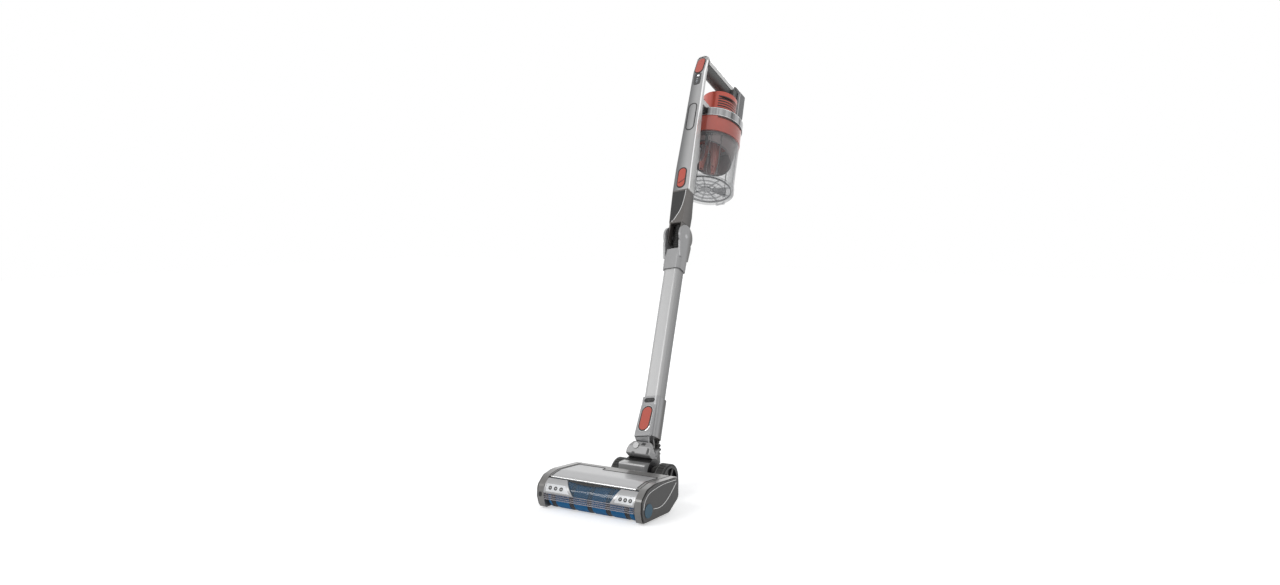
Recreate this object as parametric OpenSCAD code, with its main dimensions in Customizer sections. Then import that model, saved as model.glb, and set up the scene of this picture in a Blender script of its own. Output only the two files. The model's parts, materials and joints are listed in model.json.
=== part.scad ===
// Cordless stick vacuum: floor head, steering neck, folding wand and handheld unit.
// Millimetres. +X is to the right, -Y is forward, +Z is up, and the floor is z = 0.
// The wand's own frame has its origin on the pitch axis, with its z along the wand.

/* [Pose at rest] */
// Lean of the wand, back from upright
recline = 29; // [0:0.5:60]
// Turn of the steering pivot
steer = 9; // [-20:0.5:20]

/* [Floor head] */
// Width over the side panels
head_w = 262; // [220:1:320]
// Back of the housing, measured from the origin
head_back = 19; // [10:1:40]
// Highest point of the housing
head_h = 76; // [68:1:95]
// Thickness of each end cap
cap_t = 15; // [13:0.5:20]
// Thickness of each side panel
side_t = 4; // [2.5:0.5:6]
// Wall of the moulded covers
wall = 2.5; // [1.8:0.1:3.5]

/* [Rollers] */
// Diameter of the soft front roller
roller_d = 62; // [50:1:68]
// Diameter of the bristle brushroll
brush_d = 48; // [38:1:54]
// Gap between the two rollers
roller_gap = 4; // [3:0.5:12]
// Gap from a roller to the moulding around it
roller_room = 3.5; // [2:0.5:6]
// Diameter of the roller shafts
shaft_d = 8; // [6:0.5:10]

/* [Wheels and neck] */
// Diameter of a rear wheel
wheel_d = 74; // [56:1:84]
// Width of a rear wheel
wheel_w = 24; // [14:1:30]
// Gap between the neck cradle and a wheel
wheel_gap = 4; // [1:0.5:8]
// Distance of the pitch axis behind the origin
neck_y = 82; // [76:1:95]
// Height of the pitch axis
neck_z = 54; // [46:1:64]
// Diameter of the neck barrel
barrel_d = 58; // [44:1:60]
// Width of the neck barrel
barrel_w = 63; // [50:1:74]
// Distance from the pitch axis to the steering pivot
steer_h = 52; // [48:1:60]
// Slope of the steering pivot, down from square to the wand
steer_slope = 35; // [20:1:45]
// Diameter of the steering pin
steer_pin_d = 8; // [6:0.5:10]

/* [Wand] */
// Width of the tube
tube_w = 42; // [34:1:48]
// Depth of the tube
tube_d = 33; // [30:1:48]
// Wall of the tube
tube_wall = 1.8; // [1.2:0.1:3]
// Bottom of the lower collar, from the pitch axis
collar_z = 74; // [70:1:80]
// Length of the lower collar
collar_h = 93; // [80:1:110]
// Bare length of the tube between the collars
tube_l = 325; // [240:1:380]
// Wall of the collars
collar_wall = 2.6; // [2.4:0.1:4]
// Length of the upper collar below its ears
upper_h = 52; // [44:1:64]
// Radius of the ears of the folding joint
ear_r = 28; // [25:1:34]
// Thickness of an ear
ear_t = 5.5; // [4:0.5:8]
// Diameter of the folding joint's pins
fold_pin_d = 10; // [7:0.5:12]

/* [Handheld unit] */
// Length from the folding axis to the top of the spine
spine_l = 530; // [480:1:560]
// Width of the spine
spine_w = 35; // [30:1:44]
// Outside diameter of the dust cup
cup_d = 140; // [120:1:150]
// Wall of the dust cup
cup_wall = 2.2; // [1.6:0.1:3]
// Distance of the cup's centre behind the wand's centre line
cup_y = 88; // [86:1:100]
// Height of the cup's door hinge above the folding axis
cup_z = 191; // [170:1:220]
// Height of the clear part of the cup
cup_h = 132; // [110:1:150]
// Height of the coloured ring above the cup
ring_h = 44; // [30:1:60]
// Height of the bright band
band_h = 23; // [16:1:30]
// Diameter of the motor housing
motor_d = 92; // [84:1:98]
// Distance of the motor's axis behind the wand's centre line
motor_y = 94; // [90:1:100]
// Height of the motor housing
motor_h = 73; // [66:1:78]
// Width of the handle
grip_w = 35; // [30:1:40]
// Thickness of the handle
grip_t = 44; // [36:1:50]
// Width of the battery pack
battery_w = 58; // [50:1:70]
// Depth of the battery pack
battery_d = 36; // [28:1:44]
// Height of the battery pack
battery_h = 90; // [78:1:100]

/* [Fits] */
// Running clearance on the radius of a shaft
run_fit = 0.05; // [0.02:0.01:0.1]
// Gap between moulded pieces that move
slip_gap = 0.4; // [0.3:0.05:0.8]
// Gap between moulded pieces that are fixed
seam = 0.15; // [0.1:0.05:0.3]

/* [Hidden] */
$fa = 4;
$fs = 0.6;
eps = 1;

// Floor head, seen along X
roller_r = roller_d / 2;
brush_r = brush_d / 2;
bay = 24;
cap_out = head_w / 2 - side_t;
cap_in = cap_out - cap_t;
brush_at = [head_back - bay - roller_room - brush_r, brush_r + 0.5];
roller_at = [brush_at[0] - sqrt(pow(roller_r + brush_r + roller_gap, 2)
    - pow(roller_r - brush_r, 2)), roller_r];
hood_in = roller_r + roller_room;
hood_out = hood_in + wall;
head_front = roller_at[0] - hood_out;
panel_front = head_front + 21;
panel_back = head_back - 41;
panel_side = [6, 8];
notch_x = -38;
notch_d = 17;
panel_t = 1.6;
sole_z = 3;
pad_r = 5;
pad_h = sole_z + 2;
screw_x = [-95, -35, 35, 95];
screw_y = 8;
screw_r = 1.5;
screw_z = [4.2, 6.2, 15];
split_z = 40;
motor_r = 14;
shell_t = panel_t + seam + wall;
motor_at = [head_back - shell_t - motor_r - 1, head_h - 5 - shell_t - motor_r - 1.5];
inner_wall = 4;
bearing_r = 7;
bearing_w = 4;
shaft_r = shaft_d / 2;
shaft_end = cap_in + inner_wall + 0.5;
belt_w = 3;
belt_t = 1.2;
belt_fit = 0.1;
belt_x1 = -cap_in - inner_wall - 2;
belt_x2 = belt_x1 - belt_w - 1.5;
roller_pulley_r = 14;
brush_pulley_r = [11, 9];
motor_pulley_r = 6;
core_r = roller_r - 11;
roller_end = cap_in - 5;
brush_core_r = brush_r - 9.5;
hood_a = [118, 170];
bumper_a = [170.5, 191];
lens_a = [139, 166];
pod_r = hood_out + 1.2;
pod_z = [roller_at[1] + hood_out * sin(hood_a[1]), roller_at[1] + hood_out * sin(hood_a[0])];
pod_left = [-37, -62];
pod_right = [54, 69];
lens_rim = 7;
button_r = 14.5;
button_at = [roller_at[0] - 13, max(roller_at[1] - 4, sole_z + wall + button_r + 5)];

// Wheels and neck
wheel_r = wheel_d / 2;
barrel_r = barrel_d / 2;
cheek_in = barrel_w / 2 + 1.2;
cheek_t = 7;
cheek_out = cheek_in + cheek_t;
wheel_in = cheek_out + wheel_gap;
axle_at = [neck_y + 10, wheel_r];
axle_r = 4;
pitch_pin_r = 5;
base_z = [14, 22];
eye_r = 11;
eye_t = 9;
fork_gap = 0.4;
fork_t = 5;
pin_end = eye_t + fork_gap + fork_t + 6;
duct_y = 33;
duct_r = 11;
duct_bore = 9;
duct_top = 42;
port_y = 16.5;
hose_end = 6;
yoke_w = 60;
yoke_front = -35;
yoke_z = [27, 58];
yoke_lip = 15.8;
yoke_foot = 32.7;
yoke_seat = 36.6;
yoke_round = [5, 7];
plug_at = [-9, 46];
plug_r = 7;

// Wand, in its own frame
collar_w = tube_w + 2 * collar_wall + 1;
collar_d = tube_d + 2 * collar_wall + 1;
tube_c = 9;
collar_c = 10;
socket_d = 2 * seam;
collar_top = collar_z + collar_h;
tube_in = 40;
tube_z = [collar_z + tube_in, collar_top + tube_l + tube_in];
upper_z = collar_top + tube_l;
fold_y = -4;
fold_z = upper_z + upper_h + ear_r + 9;
ear_out = collar_w / 2;
ear_in = ear_out - ear_t;
fold_pin_r = fold_pin_d / 2;
hose_r = 12.5;
cheek_r = 18;
cheek_gap = hose_r + 2;
wand_button = [12, 28];
wand_button_z = collar_z + 39;
button_rise = 1.2;
button_body = 1.4;
plate_w = 40;
plate_top = collar_top - 20;
plate_foot = [-28.5, collar_z + 5];
catch_at = collar_top - 9;
catch_size = [5.5, 14];
fork_flare = [7, 3];
fork_reach = [30, 24];
function plate_at(z) = -collar_d / 2 + (plate_foot[0] + collar_d / 2) * (plate_top - z)
    / (plate_top - plate_foot[1]);
latch_x = 8;
latch_at = [18, fold_z + 58];
latch_pin_r = 1.5;
latch_foot = fold_z - 49;
latch_head = fold_z + 66;
latch_back = 27.5;

// Handheld unit, in the wand's frame
base_top = fold_z + 123;
base_low = fold_z + ear_r + 4;
spine_top = fold_z + spine_l;
spine_low_w = spine_w + 8;
skin = 5;
spine_front_y = -25;
cup_r = cup_d / 2;
door_t = 8;
hinge_at = [cup_r + 5, -4.5];
hinge_w = 18;
hinge_r = 1.6;
cup_low = fold_z + cup_z;
cup_top = cup_low + cup_h;
ring_top = cup_top + ring_h;
band_low = ring_top;
band_top = band_low + band_h;
band_r = cup_r + 2.5;
house_r = motor_d / 2;
house_top = band_top + motor_h;
bridge_t = 14;
grip_z = spine_top - grip_t / 2 + 3;
grip_back = motor_y + house_r - 10;
battery_y = motor_y + house_r - 6;
battery_z = band_top + 52;
dock_t = 5;
dock_w = battery_w - 6;
rail_x = 13;
rail_w = 4;
rail_t = 3;
rail_l = 62;
release_z = fold_z + 157;
release_size = [10, 26];
power_z = spine_top - 31;
power_size = [11, 25];
power_y = spine_front_y + 6.6;
power_tilt = 10.5;
display_z = power_z - 45;
display_size = [20, 34];
display_y = spine_front_y + 0.6;
vent_n = 7;
vent_h = 3.2;
vent_pitch = 7.4;
vent_a = [-62, 28];
cone_n = 3;
cone_top_r = 17;
cone_tip_r = 5;
cone_l = 80;
skirt_l = 68;
skirt_cut = 45.5;
skirt_slope = 0.34;
skirt_r = [50, 52];
skirt_lip = [40, 6.5];
cone_ring = 20;
rotor_r = 15;
stator_r = 24;

// Points of an outline with each corner rounded: every entry is [u, v, radius]
function unit(v) = v / norm(v);
function corner(a, b, c, r, n) =
    let (p = [b[0], b[1]], u = unit([a[0], a[1]] - p), w = unit([c[0], c[1]] - p),
        half = acos(min(1, max(-1, u * w))) / 2)
    r == 0 || half > 89.5 ? [p] :
    let (run = r / tan(half), mid = p + unit(u + w) * (r / sin(half)),
        s = p + u * run - mid, side = u[0] * w[1] - u[1] * w[0] > 0 ? -1 : 1,
        turn = side * (180 - 2 * half), start = atan2(s[1], s[0]))
    [for (i = [0:n]) mid + r * [cos(start + turn * i / n), sin(start + turn * i / n)]];
function rounded(pts, n = 6) = [for (i = [0:len(pts) - 1])
    each corner(pts[(i + len(pts) - 1) % len(pts)], pts[i], pts[(i + 1) % len(pts)],
        pts[i][2], n)];

// Arc of points about a centre
function arc(c, r, a0, a1, n = 24) = [for (i = [0:n])
    c + r * [cos(a0 + (a1 - a0) * i / n), sin(a0 + (a1 - a0) * i / n)]];
function sector(c, r0, r1, a0, a1, n = 24) = concat(arc(c, r1, a0, a1, n), arc(c, r0, a1, a0, n));
function rounded_box(w, d, r, n = 6) = rounded([[-w / 2, -d / 2, r], [w / 2, -d / 2, r],
    [w / 2, d / 2, r], [-w / 2, d / 2, r]], n);
function oval(rx, rz, n = 40) = [for (i = [0:n - 1])
    [rx * cos(360 * i / n), (rz - rx) * sign(sin(360 * i / n)) + rx * sin(360 * i / n)]];

// Loop of a belt round two pulleys
function belt_loop(p, rp, q, rq) =
    let (d = norm(q - p), base = atan2(q[1] - p[1], q[0] - p[0]), open = acos((rp - rq) / d))
    concat(arc(p, rp, base + open, base + 360 - open, 40), arc(q, rq, base - open, base + open, 40));

// Side view of the floor head, moved in by an inset
function side_points(i) = rounded([
    [head_front + 7 + i, sole_z + i, 6], [head_front + i, 27, 12], [head_front + 1.5 + i, 50, 18],
    [head_front + 23 + i, head_h - 6 - i, 22], [head_front + 55, head_h - i, 60],
    [head_back - i, head_h - 5 - i, 5], [head_back - i, 28, 12],
    [head_back - 40, sole_z + i, 14]]);

// Side view of the spine
function spine_points(shift) = rounded([
    [spine_front_y + shift, base_top, 0], [spine_front_y - 2 + shift, base_top + 60, 120],
    [spine_front_y + 1.5 + shift, spine_top - 52, 60], [spine_front_y + 11 + shift, spine_top, 3],
    [spine_front_y + 22, spine_top, 1.5], [spine_front_y + 18, spine_top - 60, 40],
    [spine_front_y + 18, band_top, 80], [spine_front_y + 28, cup_top - 60, 200],
    [spine_front_y + 30, base_top, 0]]);

module along_x(x0, x1) {
    translate([x0, 0, 0]) rotate([90, 0, 90]) linear_extrude(x1 - x0) children();
}
module along_y(y0, y1) {
    translate([0, y1, 0]) rotate([90, 0, 0]) linear_extrude(y1 - y0) children();
}
module rod_x(at, r, x0, x1) {
    translate([x0, at[0], at[1]]) rotate([0, 90, 0]) cylinder(r = r, h = x1 - x0);
}
module ring_x(at, r0, r1, x0, x1) {
    difference() {
        rod_x(at, r1, x0, x1);
        rod_x(at, r0, x0 - eps, x1 + eps);
    }
}
module both_sides() {
    children();
    mirror([1, 0, 0]) children();
}

// Frames
module neck_frame() {
    translate([0, neck_y, neck_z]) rotate([-recline, 0, 0]) children();
}
module steer_frame() {
    translate([0, 0, steer_h]) rotate([90 + steer_slope, 0, 0]) children();
}
module wand_frame() {
    neck_frame() translate([0, 0, steer_h])
        rotate(a = steer, v = [0, -cos(steer_slope), -sin(steer_slope)])
        translate([0, 0, -steer_h]) children();
}
module button_frame(y, z, tilt = 0) {
    translate([0, y, z]) rotate([-tilt, 0, 0]) children();
}

// Floor head
module chassis() {
    color("dimgray") difference() {
        union() {
            difference() {
                along_x(-cap_in + seam, cap_in - seam) union() {
                    polygon(rounded([[head_back - bay - 12, sole_z, 0], [head_back, sole_z, 4],
                        [head_back, split_z - seam, 0], [head_back - bay - 12, split_z - seam, 0]]));
                    polygon(sector(brush_at, brush_r + roller_room, brush_r + roller_room + wall,
                        -20, 118));
                }
                translate([-cap_in + 6, head_back - bay + 4, sole_z + 4])
                    cube([2 * cap_in - 12, bay - 4 - 2 * wall, head_h]);
            }
            for (x = screw_x) translate([x, screw_y, sole_z + 3]) cylinder(r = 4.5, h = 15);
        }
        rod_x(brush_at, brush_r + roller_room, -head_w, head_w);
        rod_x(motor_at, motor_r + seam, -cap_in - eps, 0);
        pad_places() cylinder(r = pad_r, h = pad_h);
        for (x = screw_x) translate([x, screw_y, 0]) {
            cylinder(r = 2 * screw_r, h = screw_z[1]);
            cylinder(r = screw_r, h = screw_z[2]);
        }
    }
}
module panel_outline(gap) {
    translate([0, 0, split_z]) linear_extrude(head_h) polygon([
        [-cap_in + panel_side[0] - gap, panel_front - gap],
        [-cap_in + panel_side[0] - gap, panel_back + notch_d + gap],
        [notch_x + gap, panel_back + notch_d + gap], [notch_x + 5 + gap, panel_back + gap],
        [cap_in - panel_side[1] + gap, panel_back + gap],
        [cap_in - panel_side[1] + gap, panel_front - gap]]);
}
module rear_cover() {
    color("gray") difference() {
        along_x(-cap_in + seam, cap_in - seam) difference() {
            intersection() {
                polygon(side_points(0));
                translate([panel_front + 1, split_z]) square([200, head_h]);
            }
            polygon(side_points(panel_t + seam + wall));
        }
        intersection() {
            panel_outline(seam);
            along_x(-cap_in, cap_in) difference() {
                translate([head_front, 0]) square([200, 2 * head_h]);
                polygon(side_points(panel_t + seam));
            }
        }
        rod_x(brush_at, brush_r + roller_room + wall + seam, -head_w, head_w);
        rod_x(roller_at, pod_r + seam, -head_w, head_w);
    }
}
module top_panel() {
    color("silver") intersection() {
        panel_outline(0);
        along_x(-cap_in, cap_in) difference() {
            polygon(side_points(0));
            polygon(side_points(panel_t));
        }
    }
}
module between_pods(gap) {
    rise = pod_z[1] - pod_z[0];
    over = 20 / rise;
    left = pod_left[1] - pod_left[0];
    right = pod_right[1] - pod_right[0];
    along_y(head_front - 20, roller_at[0]) polygon([
        [pod_left[0] + gap - left * over, pod_z[0] - 20], [pod_right[0] - gap - right * over, pod_z[0] - 20],
        [pod_right[1] - gap + right * over, pod_z[1] + 20],
        [pod_left[1] + gap + left * over, pod_z[1] + 20]]);
}
module roller_window() {
    color("lightblue", 0.5) intersection() {
        along_x(-cap_in, cap_in) polygon(sector(roller_at, hood_in, hood_out, hood_a[0], hood_a[1]));
        between_pods(seam);
    }
}
module bumper_strip() {
    color("lightsteelblue", 0.6) along_x(-cap_in + seam, cap_in - seam) union() {
        polygon(sector(roller_at, hood_in, hood_out, bumper_a[0], bumper_a[1]));
        for (a = [bumper_a[0] + 2:4.5:bumper_a[1]])
            polygon(sector(roller_at, hood_out - 0.2, hood_out + 1, a, a + 2.2, 4));
    }
}
module lens_room(gap, r0, r1) {
    difference() {
        along_x(-cap_in + 4 + gap, cap_in - 4 - gap)
            polygon(sector(roller_at, r0, r1, lens_a[0] + 2 * gap, lens_a[1] - 2 * gap));
        between_pods(-lens_rim - gap);
    }
}
module headlights() {
    color("gainsboro") difference() {
        along_x(-cap_in + seam, cap_in - seam)
            polygon(sector(roller_at, hood_in, pod_r, hood_a[0], hood_a[1]));
        between_pods(0);
        lens_room(0, hood_in + 1.4, hood_out + 3);
    }
}
module headlight_lenses() {
    color("white") lens_room(seam, hood_in + 1.5, hood_out + 0.8);
}
module cap_shape() {
    difference() {
        union() {
            difference() {
                along_x(cap_in, cap_out) polygon(side_points(0));
                along_x(cap_in + inner_wall, cap_out + eps) polygon(side_points(wall));
            }
            rod_x(roller_at, bearing_r + 2.5, cap_in, cap_in + inner_wall + 1);
            rod_x(brush_at, bearing_r + 2.5, cap_in, cap_in + inner_wall + 1);
        }
        for (at = [roller_at, brush_at]) rod_x(at, bearing_r, cap_in - eps, cap_out);
    }
}
module end_cap_left() {
    color("slategray") difference() {
        mirror([1, 0, 0]) cap_shape();
        rod_x(motor_at, motor_pulley_r + 2, -cap_out, -cap_in + eps);
    }
}
module end_cap_right() {
    color("slategray") cap_shape();
}
module side_panel_left() {
    color("dimgray") along_x(-head_w / 2, -cap_out) polygon(side_points(2));
}
module side_panel_right() {
    color("dimgray") difference() {
        along_x(cap_out, head_w / 2) polygon(side_points(2));
        rod_x(button_at, button_r + slip_gap, cap_out - eps, head_w);
    }
}
module roller_button() {
    color("royalblue") union() {
        rod_x(button_at, button_r, head_w / 2 - 5.5, head_w / 2 + 0.8);
        rod_x(button_at, 5, head_w / 2 - 8, head_w / 2 - 5);
    }
}
module drive_motor() {
    color("silver") difference() {
        union() {
            rod_x(motor_at, motor_r, -cap_in + 3, -cap_in + 66);
            rod_x(motor_at, 6, -cap_in + 60, -cap_in + 70);
        }
        rod_x(motor_at, 2.5 + run_fit, -cap_in, -cap_in + 50);
    }
}
module motor_pulley() {
    color("dimgray") union() {
        rod_x(motor_at, 2.5, belt_x1 - belt_w - 0.5, -cap_in + 48);
        rod_x(motor_at, motor_pulley_r, belt_x1 - belt_w - 0.3, belt_x1 + 0.3);
    }
}
module belt(p, rp, q, rq, x1) {
    along_x(x1 - belt_w, x1) difference() {
        polygon(belt_loop(p, rp + belt_fit + belt_t, q, rq + belt_fit + belt_t));
        polygon(belt_loop(p, rp + belt_fit, q, rq + belt_fit));
    }
}
module drive_belts() {
    color("black") {
        belt(motor_at, motor_pulley_r, brush_at, brush_pulley_r[0], belt_x1);
        belt(brush_at, brush_pulley_r[1], roller_at, roller_pulley_r, belt_x2);
    }
}
module roller_bearings() {
    color("silver") both_sides() for (at = [roller_at, brush_at])
        ring_x(at, shaft_r + run_fit, bearing_r, cap_in + 0.2, cap_in + 0.2 + bearing_w);
}
module roller_core() {
    color("gray") union() {
        rod_x(roller_at, core_r, -roller_end, roller_end);
        rod_x(roller_at, shaft_r, belt_x2 - belt_w - 0.5, shaft_end);
        rod_x(roller_at, roller_pulley_r, belt_x2 - belt_w - 0.3, belt_x2 + 0.3);
    }
}
module roller_sleeve() {
    color("dodgerblue") ring_x(roller_at, core_r, roller_r, -roller_end + 1, roller_end - 1);
}
module brush_core() {
    color("black") union() {
        rod_x(brush_at, brush_core_r, -roller_end, roller_end);
        rod_x(brush_at, shaft_r, belt_x2 - belt_w - 0.5, shaft_end);
        rod_x(brush_at, brush_pulley_r[1], belt_x2 - belt_w - 0.3, belt_x2 + 0.3);
        rod_x(brush_at, brush_pulley_r[0], belt_x1 - belt_w - 0.3, belt_x1 + 0.3);
    }
}
module brush_bristles() {
    tufts = 12;
    tuft_gap = 1.5;
    tuft_turn = 27;
    pitch = (2 * roller_end - 10) / tufts;
    color("darkslategray") difference() {
        for (row = [0:1], i = [0:tufts - 1])
            translate([-roller_end + 5 + pitch * i, brush_at[0], brush_at[1]])
                rotate([row * 180 + tuft_turn * (i < tufts / 2 ? i : tufts - 1 - i), 0, 0])
                translate([0, -2.5, brush_core_r - 1]) cube([pitch - tuft_gap, 5, brush_r - brush_core_r]);
        rod_x(brush_at, brush_core_r, -head_w, head_w);
    }
}
module pad_places() {
    for (p = [[0, 0], [-80, 0], [80, 0]]) translate([p[0], p[1], 0]) children();
}
module sole_pads() {
    color("darkgray") pad_places() cylinder(r = pad_r, h = pad_h);
}
module head_screws() {
    color("silver") for (x = screw_x) translate([x, screw_y, screw_z[0]]) union() {
        cylinder(r = screw_r, h = screw_z[2] - screw_z[0]);
        cylinder(r = 2 * screw_r - seam, h = screw_z[1] - screw_z[0]);
    }
}
module neck_cradle() {
    color("dimgray") difference() {
        union() {
            translate([-cheek_out, head_back + seam, base_z[0]])
                cube([2 * cheek_out, neck_y + 22 - head_back, base_z[1] - base_z[0]]);
            both_sides() along_x(cheek_in, cheek_out) polygon(rounded([
                [neck_y - 20, base_z[1] - 4, 0], [neck_y - 13, neck_z + 13, 12],
                [neck_y + 13, neck_z + 13, 12], [axle_at[0] + 14, axle_at[1] + 4, 8],
                [neck_y + 22, base_z[1] - 4, 0]]));
            both_sides() rod_x(axle_at, 9, cheek_in, wheel_in - 1);
        }
        rod_x([neck_y, neck_z], pitch_pin_r + run_fit, -head_w, head_w);
        both_sides() rod_x(axle_at, axle_r, cheek_in - eps, head_w);
        rod_x([neck_y, neck_z], barrel_r + 1, -cheek_in, cheek_in);
        translate([-duct_r - 2, neck_y + 3, 0]) cube([2 * duct_r + 4, 60, neck_z]);
    }
}
module saddle_block() {
    color("silver") along_x(-cheek_in, cheek_in) difference() {
        polygon(rounded([[neck_y - 42, base_z[1] + seam, 0], [neck_y - 42, neck_z + 24, 4],
            [neck_y - 12, neck_z + 24, 1], [neck_y - 12, base_z[1] + seam, 0]]));
        polygon(arc([neck_y, neck_z], barrel_r + 1, 0, 360, 96));
    }
}
module wheel_axles() {
    color("silver") both_sides() union() {
        rod_x(axle_at, axle_r, cheek_in + 1, wheel_in + wheel_w + 1.5);
        rod_x(axle_at, axle_r + 2.5, wheel_in + wheel_w + 0.5, wheel_in + wheel_w + 2);
    }
}
module hub_shape() {
    difference() {
        rod_x(axle_at, wheel_r - 4, wheel_in, wheel_in + wheel_w);
        rod_x(axle_at, axle_r + run_fit, 0, head_w);
        difference() {
            rod_x(axle_at, wheel_r - 9, wheel_in + wheel_w - 6, head_w);
            rod_x(axle_at, 10, 0, wheel_in + wheel_w);
        }
    }
}
module tyre_shape() {
    grooves = 28;
    difference() {
        ring_x(axle_at, wheel_r - 4, wheel_r, wheel_in + 1, wheel_in + wheel_w - 1);
        for (i = [0:grooves - 1])
            translate([wheel_in + 4, axle_at[0], axle_at[1]]) rotate([360 * (i + 0.5) / grooves, 0, 0])
                translate([0, -0.8, wheel_r - 1]) cube([wheel_w - 8, 1.6, 3]);
    }
}
module wheel_hub_left() {
    color("gray") mirror([1, 0, 0]) hub_shape();
}
module wheel_hub_right() {
    color("gray") hub_shape();
}
module tyre_left() {
    color("black") mirror([1, 0, 0]) tyre_shape();
}
module tyre_right() {
    color("black") tyre_shape();
}

// Neck
module barrel_rod(r, half) {
    rotate([0, 90, 0]) cylinder(r = r, h = 2 * half, center = true);
}
module neck_barrel() {
    color("black") neck_frame() difference() {
        barrel_rod(barrel_r, barrel_w / 2);
        barrel_rod(barrel_r - 5, barrel_w / 2 - 10);
        barrel_rod(pitch_pin_r, barrel_w);
        translate([0, 0, -barrel_r]) cylinder(r = 14, h = barrel_r);
    }
}
module yoke_block() {
    lip = [for (z = [yoke_z[1] - 2, yoke_foot]) [(-yoke_lip - (z - steer_h) * sin(steer_slope))
        / cos(steer_slope), z]];
    intersection() {
        along_x(-yoke_w / 2, yoke_w / 2) polygon(rounded([[yoke_front, yoke_z[0], 3],
            [yoke_front, yoke_z[0] + 19, 6], [yoke_front + 8, yoke_z[1], 2], [lip[0][0], lip[0][1], 0],
            [lip[1][0], lip[1][1], 0], [0, yoke_seat, 0], [0, yoke_z[0] - 6, 0]]));
        along_y(-yoke_w, yoke_w) polygon(rounded([[-yoke_w / 2, 0, 0],
            [-yoke_w / 2, yoke_z[0] + 10, yoke_round[0]], [-yoke_w / 2 + 9, yoke_z[1] + 1, yoke_round[1]],
            [yoke_w / 2 - 9, yoke_z[1] + 1, yoke_round[1]], [yoke_w / 2, yoke_z[0] + 10, yoke_round[0]],
            [yoke_w / 2, 0, 0]]));
    }
}
module neck_yoke() {
    color("slategray") neck_frame() difference() {
        union() {
            steer_frame() cylinder(r = eye_r, h = 2 * eye_t, center = true);
            steer_frame() translate([-eye_r + 1, -34, -eye_t]) cube([2 * eye_r - 2, 34, 2 * eye_t]);
            translate([0, duct_y, 8]) cylinder(r = duct_r, h = duct_top - 8);
            translate([-duct_r, barrel_r - 12, 8]) cube([2 * duct_r, duct_y - barrel_r + 12, 20]);
            steer_frame() translate([-yoke_w / 2 + 4, -34, -eye_t]) cube([yoke_w - 8, 32, 2 * eye_t]);
            yoke_block();
        }
        barrel_rod(barrel_r, barrel_w);
        steer_frame() translate([0, 0, -30]) cylinder(r = steer_pin_d / 2, h = 30 + pin_end + seam);
        along_y(yoke_front - eps, yoke_front + 14) translate(plug_at) circle(r = 2.5 + seam);
        translate([0, duct_y, 14]) cylinder(r = duct_bore, h = duct_top);
        rotate([-62, 0, 0]) cylinder(r = duct_bore - 2, h = barrel_r + 14);
    }
}
module neck_pins() {
    color("silver") neck_frame() {
        both_sides() translate([barrel_w / 2 - 9, 0, 0]) rotate([0, 90, 0])
            cylinder(r = pitch_pin_r, h = cheek_out - barrel_w / 2 + 9);
        steer_frame() translate([0, 0, 5.7 - pin_end]) cylinder(r = steer_pin_d / 2, h = 2 * pin_end - 5.7);
        along_y(yoke_front - seam, yoke_front + 12) translate(plug_at) circle(r = 2.5);
        along_y(yoke_front - seam - 1.5, yoke_front - seam) translate(plug_at) circle(r = plug_r);
    }
}
module neck_hose() {
    lean = atan2(duct_y - port_y, collar_z - duct_top);
    length = norm([duct_y - port_y, collar_z - duct_top]);
    color("black") neck_frame() translate([0, duct_y, duct_top]) difference() {
        union() {
            rotate([lean, 0, 0]) translate([0, 0, hose_end])
                cylinder(r = duct_bore, h = length - 2 * hose_end);
            translate([0, 0, -8]) cylinder(r = duct_bore - seam, h = 8 + hose_end);
        }
        rotate([lean, 0, 0]) cylinder(r = duct_bore - 2.5, h = 60);
        translate([0, 0, -9]) cylinder(r = duct_bore - 2.5, h = 12);
    }
}

// Wand
module lower_collar() {
    color("slategray") wand_frame() difference() {
        union() {
            translate([0, 0, collar_z]) linear_extrude(collar_h)
                polygon(rounded_box(collar_w, collar_d, collar_c));
            translate([0, port_y, collar_z]) cylinder(r = duct_r, h = collar_h - 6);
            along_x(-plate_w / 2, plate_w / 2) polygon(rounded([[-collar_d / 2, plate_top, 0],
                [plate_foot[0], plate_foot[1], 14], [plate_foot[0] - 0.5, collar_z - 5.5, 2],
                [plate_foot[0] + 3.6, collar_z - 3, 0], [-14, collar_z + 6, 3], [-14, plate_top, 0]]));
            steer_frame() translate([0, 0, eye_t + fork_gap]) linear_extrude(fork_t) union() {
                polygon(arc([0, 0], eye_r, 180, 360, 30));
                polygon([[-eye_r, 0], [eye_r, 0], [eye_r + fork_flare[0], fork_reach[0]],
                    [-eye_r - fork_flare[0], fork_reach[0]]]);
            }
            steer_frame() translate([0, 0, -eye_t - fork_gap - fork_t]) linear_extrude(fork_t) union() {
                polygon(arc([0, 0], eye_r, 180, 360, 30));
                polygon([[-eye_r, 0], [eye_r, 0], [eye_r + fork_flare[1], fork_reach[1]],
                    [-eye_r - fork_flare[1], fork_reach[1]]]);
            }
        }
        translate([0, 0, collar_z + 4]) linear_extrude(collar_h)
            polygon(rounded_box(tube_w + socket_d, tube_d + socket_d, tube_c));
        translate([0, port_y, collar_z - eps]) cylinder(r = duct_bore, h = 20);
        along_y(-collar_d, -collar_d / 2 + 1.2) translate([0, catch_at]) rotate(90)
            polygon(oval(catch_size[0], catch_size[1]));
        steer_frame() cylinder(r = steer_pin_d / 2 + run_fit, h = 80, center = true);
        along_y(-collar_d, 0) translate([0, wand_button_z])
            polygon(oval(wand_button[0] + slip_gap, wand_button[1] + slip_gap));
    }
}
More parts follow.
